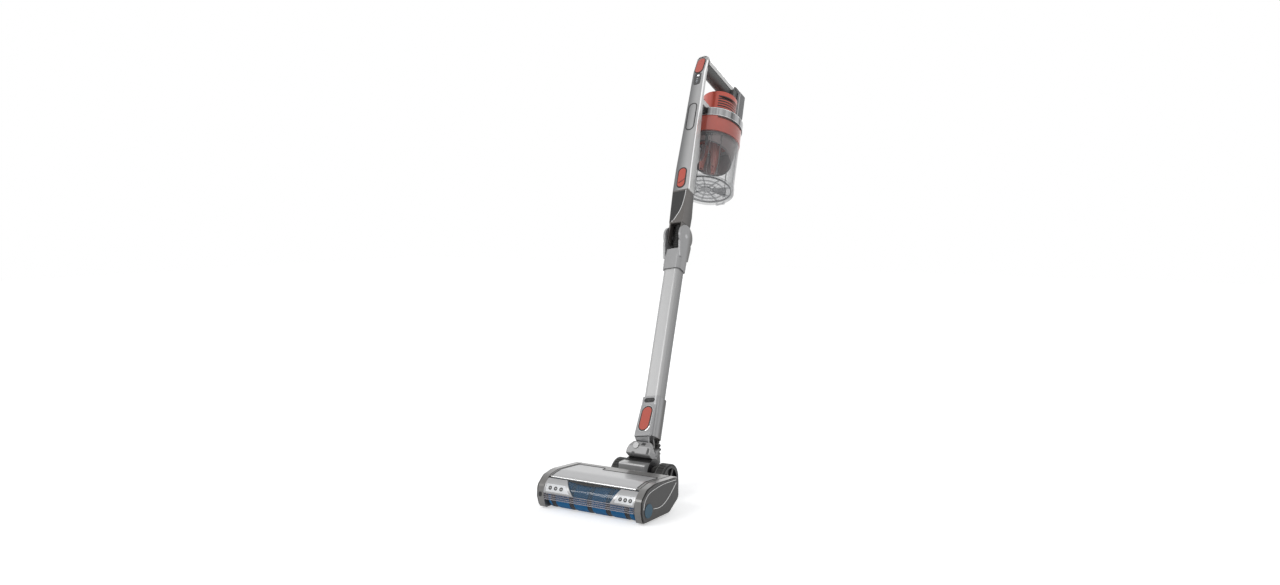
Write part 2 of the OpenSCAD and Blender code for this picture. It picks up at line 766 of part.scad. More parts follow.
module wand_button() {
    low = wand_button_z - 2 * wand_button[1];
    high = wand_button_z + 2 * wand_button[1];
    color("orangered") wand_frame() intersection() {
        along_y(-collar_d, 0) translate([0, wand_button_z]) polygon(oval(wand_button[0], wand_button[1]));
        along_x(-collar_w, collar_w) polygon([[plate_at(low) - button_rise, low],
            [plate_at(high) - button_rise, high], [plate_at(high) + button_body, high],
            [plate_at(low) + button_body, low]]);
    }
}
module wand_tube() {
    color("silver") wand_frame() translate([0, 0, tube_z[0]])
        linear_extrude(tube_z[1] - tube_z[0]) difference() {
            polygon(rounded_box(tube_w, tube_d, tube_c));
            polygon(rounded_box(tube_w - 2 * tube_wall, tube_d - 2 * tube_wall, tube_c - tube_wall));
        }
}
module upper_collar() {
    color("slategray") wand_frame() difference() {
        union() {
            translate([0, 0, upper_z]) linear_extrude(upper_h)
                polygon(rounded_box(collar_w, collar_d, collar_c));
            both_sides() along_x(ear_in, ear_out) union() {
                polygon(arc([fold_y, fold_z], ear_r, 0, 360, 72));
                polygon(rounded([[-collar_d / 2 + 2, upper_z + upper_h - 22, 0],
                    [fold_y - ear_r + 0.5, fold_z - 8, 14], [fold_y + ear_r - 0.5, fold_z - 8, 14],
                    [collar_d / 2 - 2, upper_z + upper_h - 22, 0]]));
            }
        }
        translate([0, 0, upper_z - eps]) linear_extrude(tube_in + eps)
            polygon(rounded_box(tube_w + socket_d, tube_d + socket_d, tube_c));
        translate([0, 0, upper_z]) cylinder(r = hose_r + 1, h = 2 * upper_h);
        translate([0, fold_y, fold_z]) barrel_rod(fold_pin_r, head_w);
    }
}
module fold_pins() {
    color("silver") wand_frame() both_sides() translate([cheek_gap, fold_y, fold_z])
        rotate([0, 90, 0]) cylinder(r = fold_pin_r, h = ear_out - cheek_gap);
}
module flex_hose() {
    ribs = 8;
    low = upper_z + upper_h + 2;
    pitch = (base_low + 12 - low) / ribs;
    color("black") wand_frame() translate([0, 0, low]) difference() {
        union() {
            cylinder(r = hose_r - 2, h = ribs * pitch);
            for (i = [0:ribs - 1]) translate([0, 0, pitch * i + 1]) cylinder(r = hose_r, h = pitch / 2);
        }
        translate([0, 0, -eps]) cylinder(r = hose_r - 3.5, h = 200);
    }
}

// Handheld unit
module spine_base() {
    color("slategray") wand_frame() difference() {
        union() {
            intersection() {
                along_x(-collar_w / 2, collar_w / 2) polygon(rounded([
                    [spine_front_y + 2, base_low, 4], [spine_front_y, base_top - seam, 0],
                    [spine_front_y + 30, base_top - seam, 0], [14, base_low + 30, 20], [14, base_low, 4]]));
                along_y(-100, 100) polygon([[-19, base_low], [-spine_low_w / 2, base_top - seam],
                    [spine_low_w / 2, base_top - seam], [19, base_low]]);
            }
            both_sides() along_x(cheek_gap, ear_in - slip_gap) union() {
                polygon(arc([fold_y, fold_z], cheek_r, 0, 360, 60));
                translate([fold_y - cheek_r, fold_z]) square([2 * cheek_r, base_low + 10 - fold_z]);
            }
            both_sides() along_x(latch_x + slip_gap, latch_x + slip_gap + 3) polygon(rounded([
                [latch_at[0] - 8, latch_at[1] - 8, 0], [latch_at[0] + 3, latch_at[1] - 6, 3],
                [latch_at[0] + 3, latch_at[1] + 4, 3], [latch_at[0] - 8, latch_at[1] + 8, 0]]));
            rod_x(latch_at, latch_pin_r, -latch_x - 2, latch_x + 2);
        }
        translate([0, 0, base_low - eps]) cylinder(r = hose_r + 0.8, h = 14 + eps);
        translate([0, -4, base_low]) cylinder(r = 11, h = 200);
        translate([0, fold_y, fold_z]) barrel_rod(fold_pin_r + run_fit, head_w);
        difference() {
            translate([-latch_x - slip_gap, 9, fold_z]) cube([2 * latch_x + 2 * slip_gap, 20, 68]);
            rod_x(latch_at, latch_pin_r, -head_w, head_w);
        }
    }
}
module fold_latch() {
    tail = collar_d / 2 + 1;
    color("black") wand_frame() difference() {
        along_x(-latch_x, latch_x) polygon(rounded([
            [tail, latch_foot + 3, 1], [tail + 3, latch_foot, 1], [tail + 4, latch_foot + 19, 10],
            [latch_back, fold_z + 4, 10], [latch_back - 4.5, latch_head - 4, 6],
            [hose_r + 1.3, latch_head, 2], [hose_r + 1.3, latch_head - 26, 2],
            [hose_r + 6, fold_z + 4, 10], [tail, latch_foot + 19, 4]]));
        rod_x(latch_at, latch_pin_r + run_fit, -head_w, head_w);
    }
}
module spine_width() {
    along_y(-100, 100) polygon([[-spine_low_w / 2, base_top], [-spine_w / 2, cup_top],
        [-spine_w / 2 + 3, spine_top + eps], [spine_w / 2 - 3, spine_top + eps],
        [spine_w / 2, cup_top], [spine_low_w / 2, base_top]]);
}
module spine_front() {
    color("darkgray") wand_frame() difference() {
        intersection() {
            along_x(-spine_w, spine_w) difference() {
                polygon(spine_points(0));
                polygon(spine_points(skin));
            }
            spine_width();
        }
        along_y(-100, 100) translate([0, release_z])
            polygon(oval(release_size[0] + slip_gap, release_size[1] + slip_gap));
        button_frame(power_y, power_z, power_tilt) along_y(-50, 50)
            polygon(oval(power_size[0] + slip_gap, power_size[1] + slip_gap));
        along_y(-100, display_y + 2.6 + seam) translate([0, display_z]) display_shape(seam);
    }
}
module spine_body() {
    color("gainsboro") wand_frame() difference() {
        union() {
            intersection() {
                along_x(-spine_w, spine_w) polygon(spine_points(skin + seam));
                spine_width();
            }
            translate([-14, spine_front_y + 20, cup_low + 30])
                cube([28, cup_y - cup_r - spine_front_y - 20.6, 44]);
            difference() {
                translate([-12, spine_front_y + 12, band_top + seam])
                    cube([24, motor_y - house_r + 8 - spine_front_y - 12, bridge_t - seam]);
                translate([0, motor_y, band_top]) cylinder(r = house_r + seam, h = 2 * bridge_t);
            }
        }
        translate([0, -4, base_top - eps]) cylinder(r = 9, h = cup_low + 60 - base_top);
        translate([0, -4, cup_low + 52]) rotate([-90, 0, 0]) cylinder(r = 9, h = 60);
        along_y(-100, spine_front_y + skin + 5) translate([0, release_z])
            polygon(oval(release_size[0] + slip_gap, release_size[1] + slip_gap));
        button_frame(power_y, power_z, power_tilt) along_y(-50, 6)
            polygon(oval(power_size[0] + slip_gap, power_size[1] + slip_gap));
    }
}
module display_shape(gap) {
    w = display_size[0] / 2 + gap;
    h = display_size[1] / 2 + gap;
    polygon(rounded([[-w, -h, 6], [w, -h, 6], [w, h, 2], [-w, h, 2]]));
}
module display_panel() {
    color("black") wand_frame() along_y(display_y, display_y + 2.6)
        translate([0, display_z]) display_shape(0);
}
module release_button() {
    color("orangered") wand_frame() along_y(spine_front_y - 2.4, spine_front_y + skin)
        translate([0, release_z]) polygon(oval(release_size[0], release_size[1]));
}
module power_button() {
    color("orangered") wand_frame() button_frame(power_y, power_z, power_tilt)
        along_y(-2.6, 3) polygon(oval(power_size[0], power_size[1]));
}
module grip_bar(y0, y1, inset) {
    along_y(y0, y1) translate([0, grip_z])
        polygon(rounded_box(grip_w - 2 * inset, grip_t - 2 * inset, 14 - inset));
}
module spine_cut() {
    along_x(-50, 50) translate([seam, 0]) polygon(spine_points(-50));
}
module handle_shell() {
    color("gainsboro") wand_frame() difference() {
        grip_bar(spine_front_y + 10, battery_y - seam, 0);
        translate([-50, -50, 0]) cube([100, 250, grip_z - 2]);
        spine_cut();
    }
}
module handle_grip() {
    color("dimgray") wand_frame() difference() {
        union() {
            intersection() {
                grip_bar(spine_front_y + 10, grip_back, 0.8);
                translate([-50, -50, 0]) cube([100, 250, grip_z - 2 - seam]);
            }
            translate([-dock_w / 2, grip_back - 16, house_top + seam])
                cube([dock_w, battery_y - seam - grip_back + 16, grip_z - 2 - house_top - 2 * seam]);
            translate([-dock_w / 2, battery_y - dock_t + seam, battery_z + 4])
                cube([dock_w, dock_t - 2 * seam, grip_z - 2 - seam - battery_z - 4]);
            both_sides() translate([rail_x, battery_y - dock_t + seam, battery_z + 4])
                cube([rail_w, dock_t + rail_t, rail_l]);
        }
        spine_cut();
    }
}
module motor_housing() {
    color("orangered") wand_frame() difference() {
        union() {
            translate([0, motor_y, band_top + seam]) cylinder(r = house_r, h = house_top - band_top - seam);
            translate([-battery_w / 2, motor_y, band_top + seam])
                cube([battery_w, battery_y - dock_t - motor_y, house_top - band_top - 24]);
        }
        translate([0, motor_y, band_top]) cylinder(r = house_r - wall, h = motor_h - wall);
        translate([-100, battery_y - dock_t, 0]) cube([200, 100, 2000]);
        both_sides() for (i = [0:vent_n - 1])
            translate([0, 0, band_top + 12 + vent_pitch * i]) linear_extrude(vent_h)
                polygon(sector([0, motor_y], house_r - wall - 2, house_r + 2, vent_a[0], vent_a[1]));
    }
}
module chrome_band() {
    band_t = 3;
    color("silver") wand_frame() translate([0, cup_y, band_low]) rotate_extrude()
        polygon([[band_r, seam], [band_r, band_h], [stator_r + 4, band_h], [stator_r + 4, band_h - band_t],
            [band_r - band_t, band_h - band_t], [band_r - band_t, seam]]);
}
module cup_ring() {
    color("orangered", 0.8) wand_frame() translate([0, cup_y, cup_top + seam]) difference() {
        cylinder(r = cup_r + 0.8, h = ring_h - seam);
        translate([0, 0, -eps]) cylinder(r = cup_r - 4, h = ring_h + 2 * eps);
    }
}
module cup_filter() {
    color("white") wand_frame() translate([0, cup_y, cup_top + 6.5 + seam]) rotate_extrude()
        polygon([[20, 0], [cup_r - 6, 0], [cup_r - 6, ring_h - 9], [cup_r - 12, ring_h - 9],
            [cup_r - 12, 5], [20, 5]]);
}
module cyclone_shroud() {
    color("dimgray") wand_frame() difference() {
        translate([0, cup_y, cup_top - skirt_l]) rotate_extrude() polygon([
            [skirt_r[0], 0], [skirt_r[1], 0], [cup_r - 5, skirt_l - 2], [cup_r - 5, skirt_l + 1],
            [cup_r - 4 - seam, skirt_l + 1], [cup_r - 4 - seam, skirt_l + skirt_lip[1]],
            [skirt_lip[0], skirt_l + skirt_lip[1]], [skirt_lip[0], skirt_l + skirt_lip[1] - 2],
            [cup_r - 8, skirt_l + skirt_lip[1] - 2], [cup_r - 8, skirt_l - 2]]);
        along_x(-cup_d, cup_d) polygon([
            [cup_y - cup_d, cup_top - skirt_cut + cup_d * skirt_slope],
            [cup_y + cup_d, cup_top - skirt_cut - cup_d * skirt_slope],
            [cup_y + cup_d, cup_top - 2 * cup_d], [cup_y - cup_d, cup_top - 2 * cup_d]]);
    }
}
module cyclone_cones() {
    color("sienna", 0.8) wand_frame() union() {
        for (i = [0:cone_n - 1]) translate([cone_ring * sin(360 * i / cone_n + 60),
            cup_y - cone_ring * cos(360 * i / cone_n + 60), cup_top + 4 - cone_l]) rotate_extrude()
            polygon([[cone_tip_r - 1.5, 0], [cone_tip_r, 0], [cone_top_r, cone_l],
                [cone_top_r - 1.5, cone_l]]);
        translate([0, cup_y, cup_top + 2]) difference() {
            cylinder(r = 44, h = 2.35);
            for (i = [0:cone_n - 1]) translate([cone_ring * sin(360 * i / cone_n + 60),
                -cone_ring * cos(360 * i / cone_n + 60), -eps]) cylinder(r = cone_top_r - 2, h = 5);
        }
    }
}
module motor_stator() {
    color("gray") wand_frame() translate([0, motor_y, band_top + 5]) difference() {
        union() {
            cylinder(r = stator_r, h = 46);
            cylinder(r = house_r - wall - seam, h = 3);
        }
        translate([0, 0, 14]) cylinder(r = rotor_r + 0.6, h = 28);
        translate([0, 0, 38]) cylinder(r = 3 + run_fit, h = 20);
        translate([0, 0, -eps]) cylinder(r = 3 + run_fit, h = 20);
    }
}
module motor_rotor() {
    color("silver") wand_frame() translate([0, motor_y, band_top + 5]) union() {
        translate([0, 0, 15]) cylinder(r = rotor_r, h = 24);
        translate([0, 0, -16]) cylinder(r = 3, h = 66);
        translate([0, 0, -16]) cylinder(r = 20, h = 4);
        for (i = [0:6]) rotate([0, 0, 360 * i / 7]) translate([4, -0.8, -12.2]) cube([14, 1.6, 8]);
    }
}
module dust_cup() {
    color("lightcyan", 0.4) wand_frame() translate([0, cup_y, cup_low + seam]) difference() {
        union() {
            cylinder(r = cup_r, h = cup_h - 2 * seam);
            cylinder(r = cup_r + 1.2, h = 5);
            both_sides() along_x(hinge_w / 2 + slip_gap, hinge_w / 2 + slip_gap + 3) polygon(rounded([
                [hinge_at[0] - 3.2, hinge_at[1] - 3.2, 1], [hinge_at[0] + 3.2, hinge_at[1] - 3.2, 3],
                [hinge_at[0] + 3.2, 5, 3], [cup_r - 1, 5, 0], [cup_r - 1, 0, 0],
                [hinge_at[0] - 3.2, 0, 0]]));
            rod_x(hinge_at, hinge_r, -hinge_w / 2 - 2, hinge_w / 2 + 2);
        }
        translate([0, 0, -eps]) cylinder(r = cup_r - cup_wall, h = cup_h + 2 * eps);
        translate([0, 0, 52]) rotate([90, 0, 0]) cylinder(r = 9, h = 2 * cup_r);
    }
}
module cup_door() {
    color("lightcyan", 0.5) wand_frame() translate([0, cup_y, cup_low]) difference() {
        union() {
            translate([0, 0, -door_t]) difference() {
                cylinder(r = cup_r + 1.2, h = door_t);
                translate([0, 0, 3]) cylinder(r = cup_r - 6, h = door_t);
                for (i = [0:5]) rotate([0, 0, 60 * i + 30]) translate([18, -9, -eps]) cube([34, 18, 2.2]);
            }
            translate([-hinge_w / 2, cup_r, -door_t]) cube([hinge_w, hinge_at[0] - cup_r, door_t - 1]);
            rod_x([hinge_at[0], hinge_at[1] + seam], 3, -hinge_w / 2, hinge_w / 2);
        }
        rod_x([hinge_at[0], hinge_at[1] + seam], hinge_r + run_fit, -head_w, head_w);
    }
}
module battery_case() {
    color("dimgray") wand_frame() difference() {
        along_y(battery_y, battery_y + battery_d) translate([0, battery_z])
            polygon(rounded([[-battery_w / 2, 0, 6], [battery_w / 2, 0, 6],
                [battery_w / 2, battery_h - 14, 4], [battery_w / 2 - 12, battery_h, 4],
                [-battery_w / 2 + 12, battery_h, 4],
                [-battery_w / 2, battery_h - 14, 4]]));
        translate([-battery_w / 2 + 4, battery_y + 6, battery_z + 4])
            cube([battery_w - 8, battery_d - 9, battery_h - 22]);
        both_sides() translate([rail_x - slip_gap, battery_y - eps, battery_z - eps])
            cube([rail_w + 2 * slip_gap, rail_t + eps + slip_gap, rail_l + 6 + eps]);
    }
}
module battery_cells() {
    color("steelblue") wand_frame() for (i = [-1:1])
        translate([16.2 * i, battery_y + battery_d / 2 + 1.5, battery_z + 4 + seam])
            cylinder(r = 8, h = battery_h - 22 - 2 * seam);
}

chassis();
rear_cover();
top_panel();
roller_window();
bumper_strip();
headlights();
headlight_lenses();
end_cap_left();
end_cap_right();
side_panel_left();
side_panel_right();
drive_motor();
drive_belts();
roller_bearings();
sole_pads();
head_screws();
neck_cradle();
saddle_block();
wheel_axles();
roller_core();
roller_sleeve();
brush_core();
brush_bristles();
motor_pulley();
wheel_hub_left();
tyre_left();
wheel_hub_right();
tyre_right();
roller_button();
neck_barrel();
neck_yoke();
neck_pins();
neck_hose();
lower_collar();
wand_tube();
upper_collar();
fold_pins();
flex_hose();
wand_button();
fold_latch();
spine_base();
spine_front();
spine_body();
display_panel();
release_button();
power_button();
handle_shell();
handle_grip();
motor_housing();
chrome_band();
cup_ring();
cyclone_shroud();
cyclone_cones();
cup_filter();
motor_stator();
motor_rotor();
dust_cup();
cup_door();
battery_case();
battery_cells();
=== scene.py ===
"""Looks of a cordless stick vacuum cleaner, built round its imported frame.

Lengths are metres in the row frame. Pieces on the wand are shaped in the wand's own frame: its
origin is on the pitch axis of the neck, its z runs along the wand and its -y faces forward.
"""

import json
import logging
import math
import random
from dataclasses import dataclass
from enum import Enum
from typing import Callable, Iterable, Sequence

import bmesh
import bpy
from mathutils import Matrix, Vector

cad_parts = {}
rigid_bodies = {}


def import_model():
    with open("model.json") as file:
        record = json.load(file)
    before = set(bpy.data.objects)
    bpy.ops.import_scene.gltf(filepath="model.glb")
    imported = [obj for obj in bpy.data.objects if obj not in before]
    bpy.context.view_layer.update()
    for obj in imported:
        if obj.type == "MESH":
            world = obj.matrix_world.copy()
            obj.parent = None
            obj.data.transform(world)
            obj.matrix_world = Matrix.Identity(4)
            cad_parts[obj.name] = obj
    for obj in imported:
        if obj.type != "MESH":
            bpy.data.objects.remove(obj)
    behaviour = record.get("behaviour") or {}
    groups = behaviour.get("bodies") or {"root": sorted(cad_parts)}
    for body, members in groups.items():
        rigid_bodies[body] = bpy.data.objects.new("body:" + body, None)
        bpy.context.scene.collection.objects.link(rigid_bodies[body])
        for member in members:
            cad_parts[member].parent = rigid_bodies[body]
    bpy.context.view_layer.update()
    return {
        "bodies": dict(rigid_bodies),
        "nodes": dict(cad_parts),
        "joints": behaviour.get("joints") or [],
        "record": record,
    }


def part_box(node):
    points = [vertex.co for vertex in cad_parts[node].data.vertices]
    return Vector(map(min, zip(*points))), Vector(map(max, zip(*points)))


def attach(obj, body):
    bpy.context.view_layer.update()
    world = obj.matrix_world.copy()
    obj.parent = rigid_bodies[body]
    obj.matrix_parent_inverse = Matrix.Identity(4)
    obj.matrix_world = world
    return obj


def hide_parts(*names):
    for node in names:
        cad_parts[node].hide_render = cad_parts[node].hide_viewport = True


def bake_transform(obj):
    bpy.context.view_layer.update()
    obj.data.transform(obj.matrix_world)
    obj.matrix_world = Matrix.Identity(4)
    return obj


LOG = logging.getLogger("stick_vacuum")
MM = 0.001
DUST = (0.45, 0.43, 0.40)
# Colour of the painted shade in joints and inside corners.
DEEP_SHADE = (0.006, 0.006, 0.007)
CUP_Y = 88.0
Colour = tuple[float, float, float]
Point = tuple[float, float, float]
Point2 = tuple[float, float]


# ---------------------------------------------------------------- node trees
class Graph:
    """Adds and links the nodes of one node tree."""

    def __init__(self, tree: bpy.types.NodeTree) -> None:
        """Takes the tree to fill.

        Args:
            tree: the material's or the group's node tree.
        """
        self.tree = tree

    def add(self, kind: str, settings: dict[str, object] | None = None,
            values: dict[str, object] | None = None) -> bpy.types.Node:
        """Adds one node.

        Args:
            kind: the node's type name, without the ShaderNode at its front.
            settings: attributes to set on the node.
            values: default values for its input sockets.

        Returns:
            The new node.
        """
        full = kind if kind.startswith("Node") else "ShaderNode" + kind
        node = self.tree.nodes.new(full)
        for name, value in (settings or {}).items():
            setattr(node, name, value)
        for name, value in (values or {}).items():
            node.inputs[name].default_value = value
        return node

    def link(self, source: bpy.types.NodeSocket, target: bpy.types.NodeSocket) -> None:
        """Joins two sockets."""
        self.tree.links.new(source, target)

    def math(self, operation: str, first: object, second: object = None,
             clamp: bool = False) -> bpy.types.NodeSocket:
        """Adds a Math node fed by sockets or numbers.

        Args:
            operation: the Math node's operation.
            first: a socket or a number.
            second: a socket, a number or nothing.
            clamp: whether the result is held between 0 and 1.

        Returns:
            The result's socket.
        """
        node = self.add("Math", {"operation": operation, "use_clamp": clamp})
        for socket, value in zip(node.inputs, (first, second)):
            if isinstance(value, bpy.types.NodeSocket):
                self.link(value, socket)
            elif value is not None:
                socket.default_value = value
        return node.outputs[0]

    def ramp(self, source: bpy.types.NodeSocket, low: float, high: float,
             to_low: float = 0.0, to_high: float = 1.0) -> bpy.types.NodeSocket:
        """Maps a value's range smoothly to another one.

        Args:
            source: the value.
            low: value that gives to_low.
            high: value that gives to_high.
            to_low: result at low.
            to_high: result at high.

        Returns:
            The result's socket.
        """
        node = self.add("MapRange", {"interpolation_type": "SMOOTHSTEP"},
                        {"From Min": low, "From Max": high, "To Min": to_low, "To Max": to_high})
        self.link(source, node.inputs["Value"])
        return node.outputs["Result"]

    def mix(self, mask: bpy.types.NodeSocket, first: object, second: object,
            blend: str = "MIX") -> bpy.types.NodeSocket:
        """Mixes two colours.

        Args:
            mask: where the second colour shows.
            first: a colour socket or a colour.
            second: a colour socket or a colour.
            blend: the Mix node's blend type.

        Returns:
            The mixed colour's socket.
        """
        node = self.add("Mix", {"data_type": "RGBA", "blend_type": blend})
        self.link(mask, node.inputs["Factor"])
        for socket, value in ((node.inputs[6], first), (node.inputs[7], second)):
            if isinstance(value, bpy.types.NodeSocket):
                self.link(value, socket)
            else:
                socket.default_value = (*value, 1.0)
        return node.outputs[2]

    def noise(self, place: bpy.types.NodeSocket, scale: object, detail: float = 3.0,
              roughness: float = 0.55) -> bpy.types.NodeSocket:
        """Adds a noise texture.

        Args:
            place: where the noise is read.
            scale: a number or a socket.
            detail: octaves.
            roughness: weight of the finer octaves.

        Returns:
            The noise's value.
        """
        node = self.add("TexNoise", None, {"Detail": detail, "Roughness": roughness})
        self.link(place, node.inputs["Vector"])
        if isinstance(scale, bpy.types.NodeSocket):
            self.link(scale, node.inputs["Scale"])
        else:
            node.inputs["Scale"].default_value = scale
        return node.outputs["Fac"]


class GroupBuilder:
    """One shared shader node group with named inputs and outputs."""

    def __init__(self, name: str, inputs: dict[str, float], outputs: Sequence[str]) -> None:
        """Makes the group and its sockets.

        Args:
            name: the group's name.
            inputs: input names and their defaults.
            outputs: output names, all plain values.
        """
        self.tree = bpy.data.node_groups.new(name, "ShaderNodeTree")
        for label, value in inputs.items():
            socket = self.tree.interface.new_socket(label, in_out="INPUT", socket_type="NodeSocketFloat")
            socket.default_value = value
        for label in outputs:
            self.tree.interface.new_socket(label, in_out="OUTPUT", socket_type="NodeSocketFloat")
        self.graph = Graph(self.tree)
        self.inputs = self.graph.add("NodeGroupInput").outputs
        self.outputs = self.graph.add("NodeGroupOutput").inputs

    def place(self) -> bpy.types.NodeSocket:
        """Returns the surface point in the object's own frame."""
        return self.graph.add("TexCoord").outputs["Object"]


def grain_group() -> bpy.types.NodeTree:
    """Moulded grain: fine stipple height and a slow mottle.

    Returns:
        The group, with inputs Scale and Mottle and outputs Height and Shade.
    """
    builder = GroupBuilder("moulded_grain", {"Scale": 900.0, "Mottle": 0.06}, ("Height", "Shade"))
    graph = builder.graph
    place = builder.place()
    fine = graph.noise(place, builder.inputs["Scale"], 2.0)
    slow = graph.noise(place, 22.0, 4.0, 0.6)
    swing = graph.math("MULTIPLY", graph.math("SUBTRACT", slow, 0.5), builder.inputs["Mottle"])
    graph.link(fine, builder.outputs["Height"])
    graph.link(graph.math("ADD", swing, 1.0), builder.outputs["Shade"])
    return builder.tree


def wear_group() -> bpy.types.NodeTree:
    """Edge wear and fine scuffs.

    Returns:
        The group, with inputs Amount and Width and outputs Edge and Scuff.
    """
    builder = GroupBuilder("edge_wear", {"Amount": 0.3, "Width": 0.0012}, ("Edge", "Scuff"))
    graph = builder.graph
    place = builder.place()
    bevel = graph.add("Bevel", {"samples": 4})
    graph.link(builder.inputs["Width"], bevel.inputs["Radius"])
    dot = graph.add("VectorMath", {"operation": "DOT_PRODUCT"})
    graph.link(bevel.outputs["Normal"], dot.inputs[0])
    graph.link(graph.add("NewGeometry").outputs["Normal"], dot.inputs[1])
    corner = graph.ramp(dot.outputs["Value"], 0.995, 0.8)
    patches = graph.ramp(graph.noise(place, 70.0, 5.0, 0.65), 0.42, 0.66)
    edge = graph.math("MULTIPLY", graph.math("MULTIPLY", corner, patches), builder.inputs["Amount"])
    stretch = graph.add("Mapping", None, {"Scale": (60.0, 60.0, 900.0)})
    graph.link(place, stretch.inputs["Vector"])
    scratches = graph.ramp(graph.noise(stretch.outputs["Vector"], 1.0, 3.0, 0.7), 0.62, 0.8)
    graph.link(edge, builder.outputs["Edge"])
    graph.link(graph.math("MULTIPLY", scratches, builder.inputs["Amount"]), builder.outputs["Scuff"])
    return builder.tree


def dust_group() -> bpy.types.NodeTree:
    """Fine dust that settles on faces that look up.

    Returns:
        The group, with the input Amount and the output Mask.
    """
    builder = GroupBuilder("settled_dust", {"Amount": 0.1}, ("Mask",))
    graph = builder.graph
    split = graph.add("SeparateXYZ")
    graph.link(graph.add("NewGeometry").outputs["Normal"], split.inputs["Vector"])
    upward = graph.ramp(split.outputs["Z"], 0.2, 0.95)
    specks = graph.ramp(graph.noise(builder.place(), 240.0, 6.0, 0.7), 0.35, 0.75)
    graph.link(graph.math("MULTIPLY", graph.math("MULTIPLY", upward, specks),
                          builder.inputs["Amount"]), builder.outputs["Mask"])
    return builder.tree


def brushed_group() -> bpy.types.NodeTree:
    """Long fine lines of a drawn or brushed metal.

    Returns:
        The group, with inputs Along and Across (line frequencies) and outputs Height and Line.
    """
    builder = GroupBuilder("drawn_lines", {"Along": 8.0, "Across": 900.0}, ("Height", "Line"))
    graph = builder.graph
    scale = graph.add("CombineXYZ")
    for axis, label in (("X", "Across"), ("Y", "Across"), ("Z", "Along")):
        graph.link(builder.inputs[label], scale.inputs[axis])
    stretch = graph.add("VectorMath", {"operation": "MULTIPLY"})
    graph.link(builder.place(), stretch.inputs[0])
    graph.link(scale.outputs["Vector"], stretch.inputs[1])
    line = graph.noise(stretch.outputs["Vector"], 1.0, 4.0, 0.6)
    graph.link(line, builder.outputs["Height"])
    graph.link(graph.ramp(line, 0.3, 0.7), builder.outputs["Line"])
    return builder.tree


def weave_group() -> bpy.types.NodeTree:
    """Crossed fibres of a felt, filter or nap.

    Returns:
        The group, with the input Pitch and outputs Height and Shade.
    """
    builder = GroupBuilder("fibres", {"Pitch": 700.0}, ("Height", "Shade"))
    graph = builder.graph
    place = builder.place()
    cells = graph.add("TexVoronoi", {"feature": "F1"})
    graph.link(place, cells.inputs["Vector"])
    graph.link(builder.inputs["Pitch"], cells.inputs["Scale"])
    fuzz = graph.noise(place, builder.inputs["Pitch"], 4.0, 0.7)
    height = graph.math("ADD", graph.math("MULTIPLY", cells.outputs["Distance"], 0.6), fuzz)
    graph.link(height, builder.outputs["Height"])
    graph.link(graph.ramp(height, 0.3, 1.1, 0.72, 1.15), builder.outputs["Shade"])
    return builder.tree


def painted_crevice_shade_group() -> bpy.types.NodeTree:
    """Painted shade: ambient occlusion darkens the colour in joints and inside corners.

    Returns:
        The group, with inputs Reach and Amount and the output Mask.
    """
    builder = GroupBuilder("painted_crevice_shade", {"Reach": 0.005, "Amount": 0.75}, ("Mask",))
    graph = builder.graph
    shut = graph.add("AmbientOcclusion", {"samples": 4})
    graph.link(builder.inputs["Reach"], shut.inputs["Distance"])
    deep = graph.ramp(shut.outputs["AO"], 0.92, 0.35)
    graph.link(graph.math("MULTIPLY", deep, builder.inputs["Amount"]), builder.outputs["Mask"])
    return builder.tree


def painted_light_fade_group() -> bpy.types.NodeTree:
    """Painted light and shade: a smooth change from one tone to another along a direction.

    Returns:
        The group, with the direction's inputs X, Y and Z, Start, Low and High, and the output Mask.
    """
    builder = GroupBuilder("painted_light_fade", {"X": 0.0, "Y": 1.0, "Z": 0.0, "Start": 0.0, "Low": 0.0,
                                          "High": 0.01}, ("Mask",))
    graph = builder.graph
    direction = graph.add("CombineXYZ")
    for axis in "XYZ":
        graph.link(builder.inputs[axis], direction.inputs[axis])
    dot = graph.add("VectorMath", {"operation": "DOT_PRODUCT"})
    graph.link(builder.place(), dot.inputs[0])
    graph.link(direction.outputs["Vector"], dot.inputs[1])
    node = graph.add("MapRange", {"interpolation_type": "SMOOTHSTEP"})
    graph.link(graph.math("SUBTRACT", dot.outputs["Value"], builder.inputs["Start"]), node.inputs["Value"])
    graph.link(builder.inputs["Low"], node.inputs["From Min"])
    graph.link(builder.inputs["High"], node.inputs["From Max"])
    graph.link(node.outputs["Result"], builder.outputs["Mask"])
    return builder.tree


def painted_reflection_group(wand: Matrix) -> bpy.types.NodeTree:
    """Painted reflection: light and dark bands that run along a round sleeve about the cup's axis.

    Args:
        wand: the wand's frame.

    Returns:
        The group, with inputs Count and Contrast and outputs Height and Shade.
    """
    builder = GroupBuilder("painted_reflection_streaks", {"Count": 3.2, "Contrast": 0.8}, ("Height", "Shade"))
    graph = builder.graph
    place = builder.place()
    centre = wand @ Vector((0.0, CUP_Y * MM, 0.0))
    parts = []
    for axis in (0, 1):
        line = wand.to_3x3().col[axis]
        dot = graph.add("VectorMath", {"operation": "DOT_PRODUCT"})
        graph.link(place, dot.inputs[0])
        dot.inputs[1].default_value = line
        parts.append(graph.math("SUBTRACT", dot.outputs["Value"], centre.dot(line)))
    flat = graph.add("CombineXYZ")
    graph.link(parts[0], flat.inputs["X"])
    graph.link(parts[1], flat.inputs["Y"])
    outward = graph.add("VectorMath", {"operation": "NORMALIZE"})
    graph.link(flat.outputs["Vector"], outward.inputs[0])
    streak = graph.noise(outward.outputs["Vector"], builder.inputs["Count"], 3.0, 0.6)
    bright = graph.ramp(streak, 0.36, 0.64, -1.0, 1.0)
    graph.link(streak, builder.outputs["Height"])
    graph.link(graph.math("ADD", graph.math("MULTIPLY", bright, builder.inputs["Contrast"]), 1.0),
               builder.outputs["Shade"])
    return builder.tree


